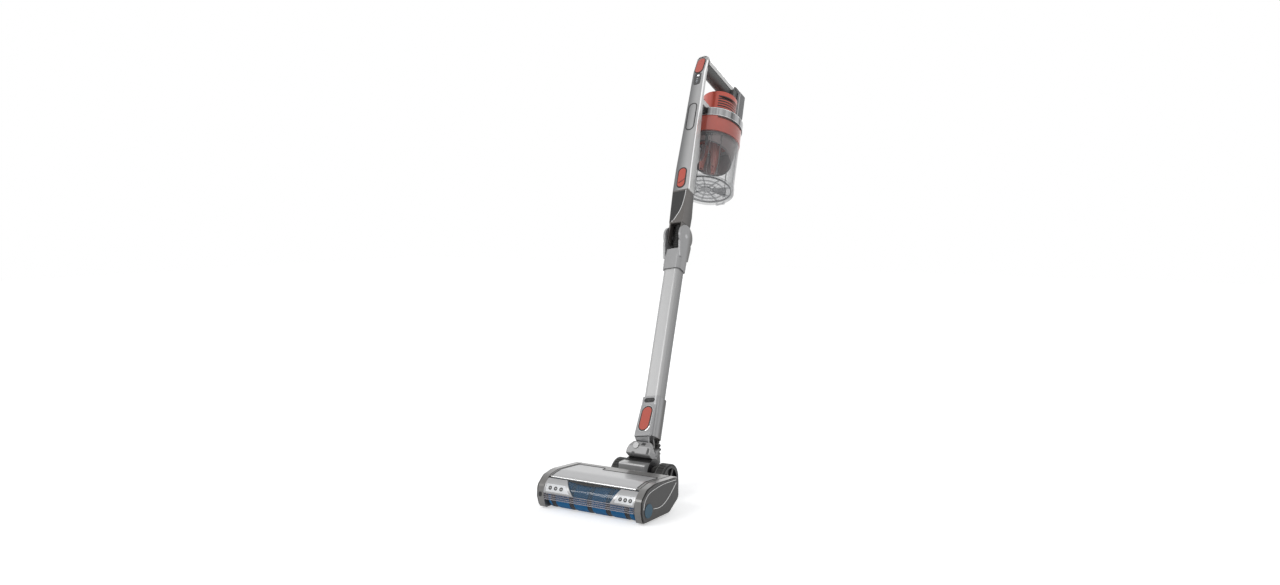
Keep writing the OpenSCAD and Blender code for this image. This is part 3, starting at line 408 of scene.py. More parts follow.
class Effects:
    """The shared groups, made once."""

    def __init__(self, layout: "Layout") -> None:
        """Builds every group.

        Args:
            layout: the frame's places.
        """
        self.layout = layout
        # Painted shade for joints and inside corners.
        self.painted_crevice_shade = painted_crevice_shade_group()
        self.fade = painted_light_fade_group()
        self.streaks = painted_reflection_group(layout.wand)
        self.grain = grain_group()
        self.wear = wear_group()
        self.dust = dust_group()
        self.brushed = brushed_group()
        self.fibres = weave_group()


# ---------------------------------------------------------------- finishes
def new_material(name: str, values: dict[str, object]) -> tuple[bpy.types.Material, Graph,
                                                                bpy.types.Node]:
    """Starts a material with a Principled shader.

    Args:
        name: the material's name.
        values: constant values for the shader's sockets.

    Returns:
        The material, its graph and its shader.
    """
    material = bpy.data.materials.new(name)
    material.use_nodes = True
    material.node_tree.nodes.clear()
    graph = Graph(material.node_tree)
    shader = graph.add("BsdfPrincipled", None, values)
    graph.link(shader.outputs[0], graph.add("OutputMaterial").inputs["Surface"])
    return material, graph, shader


class Texture(Enum):
    """What the surface of a finish is like close to."""

    MOULDED = "moulded"
    DRAWN = "drawn"
    FIBRES = "fibres"
    # Painted reflection: light and dark bands round the cup's axis.
    PAINTED_REFLECTION = "painted_reflection"


class Base(Enum):
    """Which frame a fade's direction is given in."""

    WAND = "wand"
    NECK = "neck"
    ROW = "row"


@dataclass(frozen=True)
class Fade:
    """Painted light and shade: a change to a second tone along a direction, with its ends in millimetres."""

    base: Base
    direction: Point
    low: float
    high: float
    colour: Colour

    def mask(self, graph: Graph, effects: Effects) -> bpy.types.NodeSocket:
        """Adds the fade's mask.

        Args:
            graph: the material's graph.
            effects: the shared groups.

        Returns:
            Where the second tone shows.
        """
        frames = {Base.WAND: effects.layout.wand, Base.NECK: effects.layout.neck, Base.ROW: Matrix()}
        frame = frames[self.base]
        line = frame.to_3x3() @ Vector(self.direction).normalized()
        start = frame.translation.dot(line)
        values = {"X": line.x, "Y": line.y, "Z": line.z, "Start": start, "Low": self.low * MM,
                  "High": self.high * MM}
        return graph.add("Group", {"node_tree": effects.fade}, values).outputs["Mask"]


@dataclass(frozen=True)
class Finish:
    """An opaque finish with grain, wear and dust, painted shade in joints and inside corners, and an optional
    fade of painted light and shade.
    """

    name: str
    colour: Colour
    roughness: float
    metallic: float = 0.0
    coat: float = 0.0
    texture: Texture = Texture.MOULDED
    scale: float = 900.0
    depth: float = 0.03
    mottle: float = 0.08
    wear: float = 0.25
    worn_colour: Colour = (0.55, 0.55, 0.55)
    dust: float = 0.08
    sheen: float = 0.0
    fade: Fade | None = None
    # How strongly shade is painted into joints and inside corners.
    painted_shade: float = 0.8

    def build(self, effects: Effects) -> bpy.types.Material:
        """Makes the material.

        Args:
            effects: the shared groups.

        Returns:
            The material.
        """
        material, graph, shader = new_material(self.name, {
            "Metallic": self.metallic, "Coat Weight": self.coat, "Sheen Weight": self.sheen})
        height, shade = self._texture(graph, effects)
        wear = graph.add("Group", {"node_tree": effects.wear}, {"Amount": self.wear})
        dust = graph.add("Group", {"node_tree": effects.dust}, {"Amount": self.dust})
        tone = graph.add("VectorMath", {"operation": "SCALE"})
        tone.inputs[0].default_value = self.colour
        # Painted light and shade: the fade moves the colour to a lighter or darker tone across the part.
        if self.fade:
            both = graph.mix(self.fade.mask(graph, effects), self.colour, self.fade.colour)
            graph.link(both, tone.inputs[0])
        graph.link(shade, tone.inputs["Scale"])
        worn = graph.mix(wear.outputs["Edge"], tone.outputs["Vector"], self.worn_colour)
        dust_and_painted_shade = graph.mix(dust.outputs["Mask"], worn, DUST)
        # Painted shade: ambient occlusion pulls the colour towards DEEP_SHADE in joints and inside corners.
        if self.painted_shade:
            joint = graph.add("Group", {"node_tree": effects.painted_crevice_shade}, {"Amount": self.painted_shade})
            dust_and_painted_shade = graph.mix(joint.outputs["Mask"], dust_and_painted_shade, DEEP_SHADE)
        graph.link(dust_and_painted_shade, shader.inputs["Base Color"])
        rough = graph.math("ADD", self.roughness, graph.math("MULTIPLY", wear.outputs["Scuff"], 0.25))
        rough = graph.math("ADD", rough, graph.math("MULTIPLY", dust.outputs["Mask"], 0.5), True)
        graph.link(rough, shader.inputs["Roughness"])
        bump = graph.add("Bump", None, {"Strength": 0.6, "Distance": self.depth * MM})
        graph.link(height, bump.inputs["Height"])
        graph.link(bump.outputs["Normal"], shader.inputs["Normal"])
        return material

    def _texture(self, graph: Graph, effects: Effects) -> tuple[bpy.types.NodeSocket,
                                                                bpy.types.NodeSocket]:
        """Adds the close texture.

        Args:
            graph: the material's graph.
            effects: the shared groups.

        Returns:
            The height and the shade that multiplies the colour.
        """
        if self.texture is Texture.DRAWN:
            node = graph.add("Group", {"node_tree": effects.brushed}, {"Across": self.scale})
            shade = graph.ramp(node.outputs["Line"], 0.0, 1.0, 1.0 - self.mottle, 1.0 + self.mottle)
            return node.outputs["Height"], shade
        if self.texture is Texture.FIBRES:
            node = graph.add("Group", {"node_tree": effects.fibres}, {"Pitch": self.scale})
            return node.outputs["Height"], node.outputs["Shade"]
        # Painted reflection: the colour swings light and dark round the cup's axis.
        if self.texture is Texture.PAINTED_REFLECTION:
            node = graph.add("Group", {"node_tree": effects.streaks}, {"Contrast": self.mottle})
            return node.outputs["Height"], node.outputs["Shade"]
        node = graph.add("Group", {"node_tree": effects.grain},
                         {"Scale": self.scale, "Mottle": self.mottle * 2})
        return node.outputs["Height"], node.outputs["Shade"]


@dataclass(frozen=True)
class ClearFinish:
    """A see-through plastic: clear face on, denser at its edges."""

    name: str
    colour: Colour
    face: float = 0.12
    edge: float = 0.7
    roughness: float = 0.06
    scale: float = 140.0
    depth: float = 0.02
    metallic: float = 0.0
    coat: float = 0.6

    def build(self, effects: Effects) -> bpy.types.Material:
        """Makes the material.

        Args:
            effects: the shared groups.

        Returns:
            The material.
        """
        material, graph, shader = new_material(self.name, {
            "Coat Weight": self.coat, "Metallic": self.metallic})
        grain = graph.add("Group", {"node_tree": effects.grain}, {"Scale": self.scale, "Mottle": 0.3})
        wear = graph.add("Group", {"node_tree": effects.wear}, {"Amount": 0.5})
        tone = graph.add("VectorMath", {"operation": "SCALE"})
        tone.inputs[0].default_value = self.colour
        graph.link(grain.outputs["Shade"], tone.inputs["Scale"])
        graph.link(tone.outputs["Vector"], shader.inputs["Base Color"])
        rough = graph.math("ADD", self.roughness, graph.math("MULTIPLY", wear.outputs["Scuff"], 0.3), True)
        graph.link(rough, shader.inputs["Roughness"])
        facing = graph.add("LayerWeight", None, {"Blend": 0.35}).outputs["Facing"]
        alpha = graph.ramp(facing, 0.1, 1.0, self.face, self.edge)
        alpha = graph.math("ADD", alpha, graph.math("MULTIPLY", wear.outputs["Edge"], 0.3), True)
        graph.link(alpha, shader.inputs["Alpha"])
        bump = graph.add("Bump", None, {"Strength": 0.4, "Distance": self.depth * MM})
        graph.link(grain.outputs["Height"], bump.inputs["Height"])
        graph.link(bump.outputs["Normal"], shader.inputs["Normal"])
        return material


@dataclass(frozen=True)
class LampFinish:
    """A lit diffuser or a light-emitting diode."""

    name: str
    colour: Colour
    strength: float
    roughness: float = 0.3

    def build(self, effects: Effects) -> bpy.types.Material:
        """Makes the material.

        Args:
            effects: the shared groups.

        Returns:
            The material.
        """
        material, graph, shader = new_material(self.name, {
            "Roughness": self.roughness, "Emission Strength": self.strength})
        grain = graph.add("Group", {"node_tree": effects.grain}, {"Scale": 300.0, "Mottle": 0.5})
        tone = graph.add("VectorMath", {"operation": "SCALE"})
        tone.inputs[0].default_value = self.colour
        graph.link(grain.outputs["Shade"], tone.inputs["Scale"])
        graph.link(tone.outputs["Vector"], shader.inputs["Base Color"])
        graph.link(tone.outputs["Vector"], shader.inputs["Emission Color"])
        return material


class Palette:
    """Every finish of the cleaner, built once."""

    OPAQUE = (
        Finish("gunmetal_plastic", (0.19, 0.185, 0.18), 0.32, metallic=0.35, coat=0.3, mottle=0.05),
        Finish("dark_plastic", (0.050, 0.049, 0.048), 0.48, mottle=0.10, depth=0.05),
        Finish("black_plastic", (0.010, 0.010, 0.011), 0.35, depth=0.04, painted_shade=0.0),
        Finish("silver_panel", (0.50, 0.50, 0.505), 0.30, metallic=0.35, coat=0.4, mottle=0.04),
        # Painted reflection: darker towards the wand's left, lighter towards its right.
        Finish("satin_grey", (0.17, 0.172, 0.176), 0.32, metallic=0.35, coat=0.25, mottle=0.04,
               fade=Fade(Base.WAND, (1.0, 0.0, 0.0), -20.0, 12.0, (0.46, 0.46, 0.46))),
        Finish("bright_shell", (0.62, 0.62, 0.615), 0.24, metallic=0.5, coat=0.4, mottle=0.03),
        # Painted shade: the tube darkens towards its back and right.
        Finish("silver_tube", (0.50, 0.50, 0.50), 0.38, metallic=0.45, texture=Texture.DRAWN,
               scale=1400.0, depth=0.006, mottle=0.05,
               fade=Fade(Base.WAND, (0.4, 0.92, 0.0), -20.0, 26.0, (0.20, 0.20, 0.20))),
        Finish("bright_trim", (0.80, 0.80, 0.80), 0.14, metallic=0.8, texture=Texture.DRAWN,
               scale=900.0, depth=0.003, mottle=0.04, painted_shade=0.0),
        Finish("bright_bead", (0.93, 0.93, 0.93), 0.16, metallic=1.0, mottle=0.02, dust=0.0, painted_shade=0.0),
        Finish("lamp_bezel", (0.06, 0.06, 0.062), 0.30, metallic=0.4, wear=0.0, dust=0.0, painted_shade=0.0),
        Finish("pod_silver", (0.42, 0.42, 0.425), 0.28, metallic=0.5, coat=0.4, mottle=0.04),
        # Painted shade: darker towards the back of the neck.
        Finish("yoke_silver", (0.33, 0.33, 0.33), 0.36, metallic=0.15, coat=0.1,
               fade=Fade(Base.NECK, (0.0, 1.0, 0.0), -2.0, 12.0, (0.09, 0.088, 0.085))),
        # Painted shade: the lower collar turns dark over its back half.
        Finish("collar_painted_back_shade", (0.36, 0.36, 0.365), 0.32, metallic=0.3, coat=0.25,
               fade=Fade(Base.WAND, (0.0, 1.0, 0.0), -6.0, 6.0, (0.115, 0.11, 0.108))),
        # Painted shade: darker towards the back.
        Finish("collar_grey", (0.36, 0.36, 0.362), 0.32, metallic=0.3, coat=0.25,
               fade=Fade(Base.WAND, (0.0, 1.0, 0.0), 2.0, 18.0, (0.17, 0.165, 0.16))),
        # Painted shade: darker towards the back.
        Finish("base_bronze", (0.125, 0.115, 0.108), 0.28, metallic=0.35, coat=0.3,
               fade=Fade(Base.WAND, (0.0, 1.0, 0.0), -16.0, 12.0, (0.055, 0.052, 0.05))),
        Finish("shroud_grey", (0.33, 0.27, 0.265), 0.42, mottle=0.12),
        Finish("saddle_silver", (0.48, 0.48, 0.48), 0.30, metallic=0.35, coat=0.3),
        # Painted highlight: the end caps grow lighter towards the top.
        Finish("cap_gunmetal", (0.18, 0.175, 0.17), 0.28, metallic=0.35, coat=0.4,
               fade=Fade(Base.ROW, (0.0, 0.3, 1.0), 24.0, 58.0, (0.34, 0.335, 0.33))),
        # Painted reflection: the chrome band's colour carries light and dark bands round the cup's axis.
        Finish("chrome_painted_reflections", (0.25, 0.25, 0.255), 0.16, metallic=0.75, coat=0.5,
               texture=Texture.PAINTED_REFLECTION, depth=0.0, mottle=0.75),
        Finish("steel", (0.50, 0.50, 0.51), 0.34, metallic=0.9, texture=Texture.DRAWN,
               scale=1200.0, depth=0.01),
        Finish("black_rubber", (0.012, 0.012, 0.012), 0.62, scale=1600.0, depth=0.08, wear=0.1,
               worn_colour=(0.10, 0.10, 0.10), painted_shade=0.0),
        Finish("grip_rubber", (0.105, 0.108, 0.106), 0.50, scale=1800.0, depth=0.10, wear=0.1,
               worn_colour=(0.16, 0.16, 0.16)),
        Finish("orange_plastic", (0.60, 0.085, 0.05), 0.32, coat=0.3, mottle=0.04),
        Finish("orange_metallic", (0.68, 0.10, 0.062), 0.28, metallic=0.2, coat=0.5, mottle=0.04),
        Finish("blue_plastic", (0.006, 0.075, 0.13), 0.42, dust=0.0, wear=0.05),
        Finish("display_glass", (0.008, 0.008, 0.010), 0.06, coat=1.0, depth=0.005, painted_shade=0.0),
        Finish("battery_grey", (0.20, 0.20, 0.205), 0.40, depth=0.06),
        Finish("cell_wrap", (0.02, 0.10, 0.22), 0.35, painted_shade=0.0),
        Finish("felt", (0.48, 0.48, 0.46), 0.95, texture=Texture.FIBRES, scale=900.0, depth=0.25,
               sheen=0.4, wear=0.05, painted_shade=0.0),
        Finish("blue_pile", (0.0, 0.145, 0.36), 0.85, texture=Texture.FIBRES, scale=1100.0, depth=0.5,
               sheen=0.12, wear=0.0, dust=0.02, painted_shade=0.0),
        Finish("bristle", (0.012, 0.012, 0.014), 0.6, texture=Texture.FIBRES, scale=1500.0, depth=0.3,
               wear=0.0, dust=0.0, painted_shade=0.0),
    )
    CLEAR = (
        ClearFinish("clear_plastic", (0.50, 0.51, 0.52), 0.12, 0.72),
        ClearFinish("clear_door", (0.42, 0.43, 0.44), 0.20, 0.80),
        ClearFinish("clear_window", (0.05, 0.12, 0.20), 0.38, 0.75),
        ClearFinish("clear_bumper", (0.30, 0.285, 0.32), 0.16, 0.75),
        ClearFinish("clear_line", (0.60, 0.59, 0.63), 0.75, 0.95),
        ClearFinish("clear_rail", (0.20, 0.205, 0.21), 0.50, 0.90),
        ClearFinish("orange_clear", (0.66, 0.15, 0.115), 0.84, 0.98, 0.12),
        ClearFinish("amber_clear", (0.60, 0.18, 0.14), 0.72, 0.92, 0.15),
    )
    LAMPS = (
        LampFinish("lamp_lens", (0.80, 0.81, 0.82), 0.12, 0.15),
        LampFinish("led_glow", (0.55, 0.55, 0.54), 0.1),
        LampFinish("mode_glow", (0.95, 0.97, 1.0), 0.8),
        LampFinish("status_light", (0.60, 0.64, 0.68), 0.2),
    )

    def __init__(self, effects: Effects) -> None:
        """Builds the materials.

        Args:
            effects: the shared groups.
        """
        self.materials = {finish.name: finish.build(effects)
                          for finish in (*self.OPAQUE, *self.CLEAR, *self.LAMPS)}

    def __getitem__(self, name: str) -> bpy.types.Material:
        """Returns a finish's material."""
        return self.materials[name]


# ---------------------------------------------------------------- frame
class Layout:
    """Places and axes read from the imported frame."""

    def __init__(self, frame: dict) -> None:
        """Works out the wand's own frame from the joints.
        """
        self.nodes: dict[str, bpy.types.Object] = frame["nodes"]
        self.joints = {joint["name"]: joint for joint in frame["joints"]}
        self.slots = {part["node"]: part["material_slot"] for part in frame["record"]["subparts"]}
        across = self.axis("fold")
        along = self.axis("motor_spin")
        back = along.cross(across)
        turn = Matrix((across, back, along)).transposed()
        fold_at = Vector((0.0, -4.0, 581.0)) * MM
        self.wand = Matrix.Translation(self.place("fold") - turn @ fold_at) @ turn.to_4x4()
        pitch = self.place("neck_pitch")
        up = (self.place("neck_steer") - pitch).normalized()
        sideways = Vector((1.0, 0.0, 0.0))
        neck = Matrix((sideways, up.cross(sideways), up)).transposed()
        self.neck = Matrix.Translation(pitch) @ neck.to_4x4()

    def axis(self, joint: str) -> Vector:
        """Returns a joint's axis."""
        return Vector(self.joints[joint]["axis"]).normalized()

    def place(self, joint: str) -> Vector:
        """Returns a joint's place."""
        return Vector(self.joints[joint]["pos_m"])


# ---------------------------------------------------------------- meshes
class MeshMaker:
    """Turns points and faces into pieces that ride on CAD bodies."""

    def __init__(self, palette: Palette, layout: Layout) -> None:
        """Keeps the finishes and places.

        Args:
            palette: the finishes.
            layout: the frame's places.
        """
        self.palette = palette
        self.layout = layout

    def piece(self, name: str, verts: Sequence[Point], faces: Sequence[Sequence[int]], body: str,
              finishes: Sequence[str], on_wand: bool = False, smooth: bool = True,
              face_finish: Callable[[int], int] | None = None) -> bpy.types.Object:
        """Makes one piece.

        Args:
            name: the piece's name.
            verts: its points, in metres.
            faces: its faces.
            body: the CAD body that it rides on, or "" for one that is left without a body.
            finishes: its finishes, the first one its own.
            on_wand: whether the points are in the wand's frame.
            smooth: whether it is shaded smooth up to 40 degrees.
            face_finish: which finish a face takes, by the face's number.

        Returns:
            The piece.
        """
        mesh = bpy.data.meshes.new(name)
        mesh.from_pydata([tuple(v) for v in verts], [], [tuple(f) for f in faces])
        if on_wand:
            mesh.transform(self.layout.wand)
        mesh.validate()
        mesh.update()
        shaped = bmesh.new()
        shaped.from_mesh(mesh)
        bmesh.ops.recalc_face_normals(shaped, faces=shaped.faces)
        shaped.to_mesh(mesh)
        shaped.free()
        for finish in finishes:
            mesh.materials.append(self.palette[finish])
        if face_finish:
            for index, polygon in enumerate(mesh.polygons):
                polygon.material_index = face_finish(index)
        if smooth:
            mesh.shade_smooth()
            mesh.set_sharp_from_angle(angle=math.radians(40))
        item = bpy.data.objects.new(name, mesh)
        bpy.context.collection.objects.link(item)
        if body:
            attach(item, body)
        LOG.info("%s: %d faces on %s", name, len(faces), body)
        return item

    @staticmethod
    def soften(item: bpy.types.Object, width: float, segments: int = 2, angle: float = 35.0) -> None:
        """Rounds an item's sharp edges with a bevel.

        Args:
            item: the object.
            width: the bevel's width.
            segments: how many faces round it.
            angle: edges sharper than this are rounded, in degrees.
        """
        bevel = item.modifiers.new("soft_edges", "BEVEL")
        bevel.width = width
        bevel.segments = segments
        bevel.limit_method = "ANGLE"
        bevel.angle_limit = math.radians(angle)
        bevel.harden_normals = True


    @staticmethod
    def curved(path: Sequence[Vector], steps: int) -> list[Vector]:
        """Runs a smooth curve through points.

        Args:
            path: the points.
            steps: how many pieces each gap is cut into.

        Returns:
            The curve's points.
        """
        ends = [path[0] * 2.0 - path[1], *path, path[-1] * 2.0 - path[-2]]
        curve = []
        for before, start, end, after in zip(ends, ends[1:], ends[2:], ends[3:]):
            for i in range(steps):
                t = i / steps
                curve.append((start * 2.0 + (end - before) * t
                              + (before * 2.0 - start * 5.0 + end * 4.0 - after) * t * t
                              + (start * 3.0 - before - end * 3.0 + after) * t ** 3) * 0.5)
        return [*curve, path[-1]]

    @staticmethod
    def rounded_loop(corners: Sequence[Point], count: int = 6) -> list[Point2]:
        """Rounds the corners of a closed outline.

        Args:
            corners: each corner's two coordinates and its radius.
            count: how many pieces each round corner has.

        Returns:
            The outline.
        """
        points = []
        for i, (u, v, radius) in enumerate(corners):
            here = Vector((u, v))
            back = (Vector(corners[i - 1][:2]) - here).normalized()
            ahead = (Vector(corners[(i + 1) % len(corners)][:2]) - here).normalized()
            cut = radius / math.tan(back.angle(ahead) / 2.0)
            for k in range(count + 1):
                t = k / count
                spot = ((here + back * cut) * (1 - t) ** 2 + here * 2 * t * (1 - t)
                        + (here + ahead * cut) * t * t)
                points.append((spot.x, spot.y))
        return points


class Shapes:
    """Point and face lists for the forms that repeat."""

    @staticmethod
    def grid(rows: Sequence[Sequence[Point]], closed: bool = True,
             capped: bool = False) -> tuple[list[Point], list[tuple[int, ...]]]:
        """Joins equal rows of points into a skin.

        Args:
            rows: rings or strips of points.
            closed: whether each row is a ring.
            capped: whether the first and last rows get a face.

        Returns:
            Points and faces.
        """
        count = len(rows[0])
        verts = [point for row in rows for point in row]
        faces = []
        for r in range(len(rows) - 1):
            for c in range(count if closed else count - 1):
                a, b = r * count + c, r * count + (c + 1) % count
                faces.append((a, b, b + count, a + count))
        if capped:
            faces.append(tuple(reversed(range(count))))
            faces.append(tuple((len(rows) - 1) * count + i for i in range(count)))
        return verts, faces

    @staticmethod
    def lathe(profile: Sequence[Point2], centre: Point, sides: int = 64,
              axis: str = "Z") -> tuple[list[Point], list[tuple[int, ...]]]:
        """Turns a closed profile about an axis.

        Args:
            profile: pairs of radius and height.
            centre: the point on the axis where height is zero.
            sides: facets round the turn.
            axis: X or Z.

        Returns:
            Points and faces.
        """
        rows = []
        for radius, height in [*profile, profile[0]]:
            ring = []
            for i in range(sides):
                angle = 2 * math.pi * i / sides
                u, v = radius * math.cos(angle), radius * math.sin(angle)
                shift = (u, v, height) if axis == "Z" else (height, u, v)
                ring.append(tuple(c + s for c, s in zip(centre, shift)))
            rows.append(ring)
        return Shapes.grid(rows)

    @staticmethod
    def tube(path: Sequence[Vector], radius: float | Callable[[float], float],
             sides: int = 12) -> tuple[list[Point], list[tuple[int, ...]]]:
        """Sweeps a round section along a path.

        Args:
            path: points along the middle.
            radius: the section's radius, or a function of the share of the way along.
            sides: facets round it.

        Returns:
            Points and faces.
        """
        rows = []
        count = len(path)
        normal = None
        for i, point in enumerate(path):
            ahead = (path[min(i + 1, count - 1)] - path[max(i - 1, 0)]).normalized()
            if normal is None:
                normal = ahead.orthogonal().normalized()
            normal = (normal - ahead * normal.dot(ahead)).normalized()
            side = ahead.cross(normal)
            width = radius(i / (count - 1)) if callable(radius) else radius
            rows.append([point + (normal * math.cos(a) + side * math.sin(a)) * width
                         for a in (2 * math.pi * k / sides for k in range(sides))])
        return Shapes.grid(rows, capped=True)

    @staticmethod
    def slab(outline: Sequence[Point2], low: float, high: float,
             to_point: Callable[[float, float, float], Point]) -> tuple[list[Point],
                                                                      list[tuple[int, ...]]]:
        """Thickens a flat outline.

        Args:
            outline: pairs of coordinates, in order round it.
            low: where the thickness starts.
            high: where it ends.
            to_point: gives a point from the outline's pair and a height.

        Returns:
            Points and faces.
        """
        rows = [[to_point(u, v, level) for u, v in outline] for level in (low, high)]
        return Shapes.grid(rows, capped=True)

    @staticmethod
    def oval(half_w: float, half_h: float, count: int = 48) -> list[Point2]:
        """Outline of a slot with round ends.

        Args:
            half_w: half its width, which is the radius of its ends.
            half_h: half its height.
            count: how many points.

        Returns:
            The outline.
        """
        points = []
        for i in range(count):
            angle = 2 * math.pi * i / count
            lift = math.copysign(half_h - half_w, math.sin(angle)) if abs(math.sin(angle)) > 1e-9 else 0.0
            points.append((half_w * math.cos(angle), lift + half_w * math.sin(angle)))
        return points

    @staticmethod
    def merge(parts: Iterable[tuple[list[Point], list[tuple[int, ...]]]]) -> tuple[
            list[Point], list[tuple[int, ...]]]:
        """Puts several meshes into one."""
        verts: list[Point] = []
        faces: list[tuple[int, ...]] = []
        for part_verts, part_faces in parts:
            base = len(verts)
            verts.extend(part_verts)
            faces.extend(tuple(base + i for i in face) for face in part_faces)
        return verts, faces


# ---------------------------------------------------------------- the cleaner
class CadFinishes:
    """Puts a finish on every CAD node, from its material slot or from SPECIAL, and rounds the edges of the
    nodes listed in BEVELS.
    """

    SPECIAL = {
        "cup_door": "clear_door", "roller_window": "clear_window", "bumper_strip": "clear_bumper",
        # The lower collar's finish paints shade over its back half.
        "headlights": "pod_silver", "neck_yoke": "yoke_silver", "lower_collar": "collar_painted_back_shade",
        "upper_collar": "collar_grey", "spine_base": "base_bronze", "cyclone_shroud": "shroud_grey",
        "saddle_block": "saddle_silver", "end_cap_left": "cap_gunmetal", "end_cap_right": "cap_gunmetal",
        # The chrome band's finish paints reflections round the cup's axis.
        "chrome_band": "chrome_painted_reflections", "wheel_hub_left": "black_plastic",
        "wheel_hub_right": "black_plastic", "neck_pins": "collar_grey",
    }
    BEVELS = {
        "end_cap_left": 1.6, "end_cap_right": 1.6, "side_panel_left": 1.0, "side_panel_right": 1.0,
        "top_panel": 0.35, "rear_cover": 0.5, "saddle_block": 1.2, "neck_yoke": 1.0, "lower_collar": 0.9,
        "upper_collar": 1.0, "spine_base": 0.8, "spine_front": 0.8, "spine_body": 0.8,
        "handle_shell": 0.8, "handle_grip": 0.8, "battery_case": 1.0,
        "roller_button": 1.2, "fold_latch": 0.8, "neck_cradle": 0.8, "display_panel": 0.4,
        "wheel_hub_left": 0.6, "wheel_hub_right": 0.6, "neck_barrel": 0.6, "chassis": 0.5,
    }

    def __init__(self, maker: MeshMaker) -> None:
        """Keeps what the methods need.

        Args:
            maker: the mesh maker, with its finishes and places.
        """
        self.layout = maker.layout
        self.palette = maker.palette
        self.maker = maker

    def dress(self) -> None:
        """Gives each node its material, and softens the edges of the nodes listed in BEVELS."""
        for name, node in self.layout.nodes.items():
            finish = self.SPECIAL.get(name, self.layout.slots[name])
            node.data.materials.clear()
            node.data.materials.append(self.palette[finish])
            if name in self.BEVELS:
                self.maker.soften(node, self.BEVELS[name] * MM)
        LOG.info("dressed %d CAD nodes", len(self.layout.nodes))


@dataclass
class Rollers:
    """The soft roller's striped nap and the brushroll's tufts."""

    maker: MeshMaker
    nap_r: float = 31.0 * MM
    core_r: float = 20.2 * MM
    strips: tuple[float, ...] = (-92.0, -46.5, -1.0, 44.5, 90.0)
    strip: float = 11.5
    lean: float = 5.0
    nap_rough: float = 0.35 * MM
    tuft_rows: int = 2
    tufts: int = 64
    tuft_in: float = 14.4 * MM
    tuft_out: float = 23.8 * MM

    def build(self) -> None:
        """Makes both rollers' coverings."""
        self._nap()
        self._tufts()

    def _nap(self) -> None:
        """A soft sleeve of blue pile with narrow black bands round it."""
        low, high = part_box("roller_sleeve")
        centre = self.maker.layout.place("soft_roller_spin")
        around, along = 120, 260
        draw = random.Random(3)
        length = high[0] - low[0]
        ends = [(self.core_r, 0.0), (self.nap_r - 2.4 * MM, 0.0), (self.nap_r - 0.8 * MM, 0.8 * MM)]
        body = [(self.nap_r, 1.8 * MM + (length - 3.6 * MM) * i / along) for i in range(along + 1)]
        tail = [(radius, length - across) for radius, across in reversed(ends)]
        rows = []
        for radius, across in [*ends, *body, *tail]:
            x = low[0] + across
            groove = 0.7 * MM if radius > self.nap_r - MM and self._on_strip(x / MM, 0.0) else 0.0
            ring = []
            for i in range(around):
                angle = 2 * math.pi * i / around
                jitter = draw.random() * self.nap_rough if radius > self.nap_r - MM else 0.0
                reach = radius - jitter - groove
                ring.append((x, centre[1] + reach * math.cos(angle), centre[2] + reach * math.sin(angle)))
            rows.append(ring)
        verts, faces = Shapes.grid(rows)

        def finish(index: int) -> int:
            """Returns 1 on a black band."""
            row, column = divmod(index, around)
            return int(self._on_strip(rows[row][0][0] / MM, math.sin(2 * math.pi * column / around)))

        nap = self.maker.piece("roller_nap", verts, faces, "soft_roller", ("blue_pile", "bristle"),
                               face_finish=finish)
        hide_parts("roller_sleeve")

    def _on_strip(self, x: float, sway: float) -> bool:
        """Tells whether a point is on a black band.

        Args:
            x: its place along the roller, in millimetres.
            sway: how far round the band's lean is, from -1 to 1.

        Returns:
            True on a band.
        """
        return any(abs(x - middle - self.lean * 0.5 * sway) < self.strip / 2 for middle in self.strips)

    def _tufts(self) -> None:
        """Two winding rows of bristle tufts."""
        low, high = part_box("brush_bristles")
        centre = self.maker.layout.place("brushroll_spin")
        draw = random.Random(5)
        parts = []
        for row in range(self.tuft_rows):
            for i in range(self.tufts):
                share = (i + 0.5) / self.tufts
                across = low[0] + (high[0] - low[0]) * share
                base = math.pi * row + 5.6 * abs(share - 0.5)
                for spread in (-1, 0, 1):
                    angle = base + spread * 0.075
                    outward = Vector((0.0, math.cos(angle), math.sin(angle)))
                    root = Vector((across, centre[1], centre[2])) + outward * self.tuft_in
                    reach = self.tuft_out - self.tuft_in - draw.random() * 0.8 * MM
                    lean = Vector(((draw.random() - 0.5) * 1.2 * MM, 0.0, 0.0))
                    path = [root, root + outward * reach * 0.5 + lean * 0.4, root + outward * reach + lean]
                    parts.append(Shapes.tube(path, lambda t: (1.1 - 0.35 * t) * MM, 6))
        verts, faces = Shapes.merge(parts)
        tufts = self.maker.piece("brush_tufts", verts, faces, "brushroll", ("bristle",))
        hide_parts("brush_bristles")


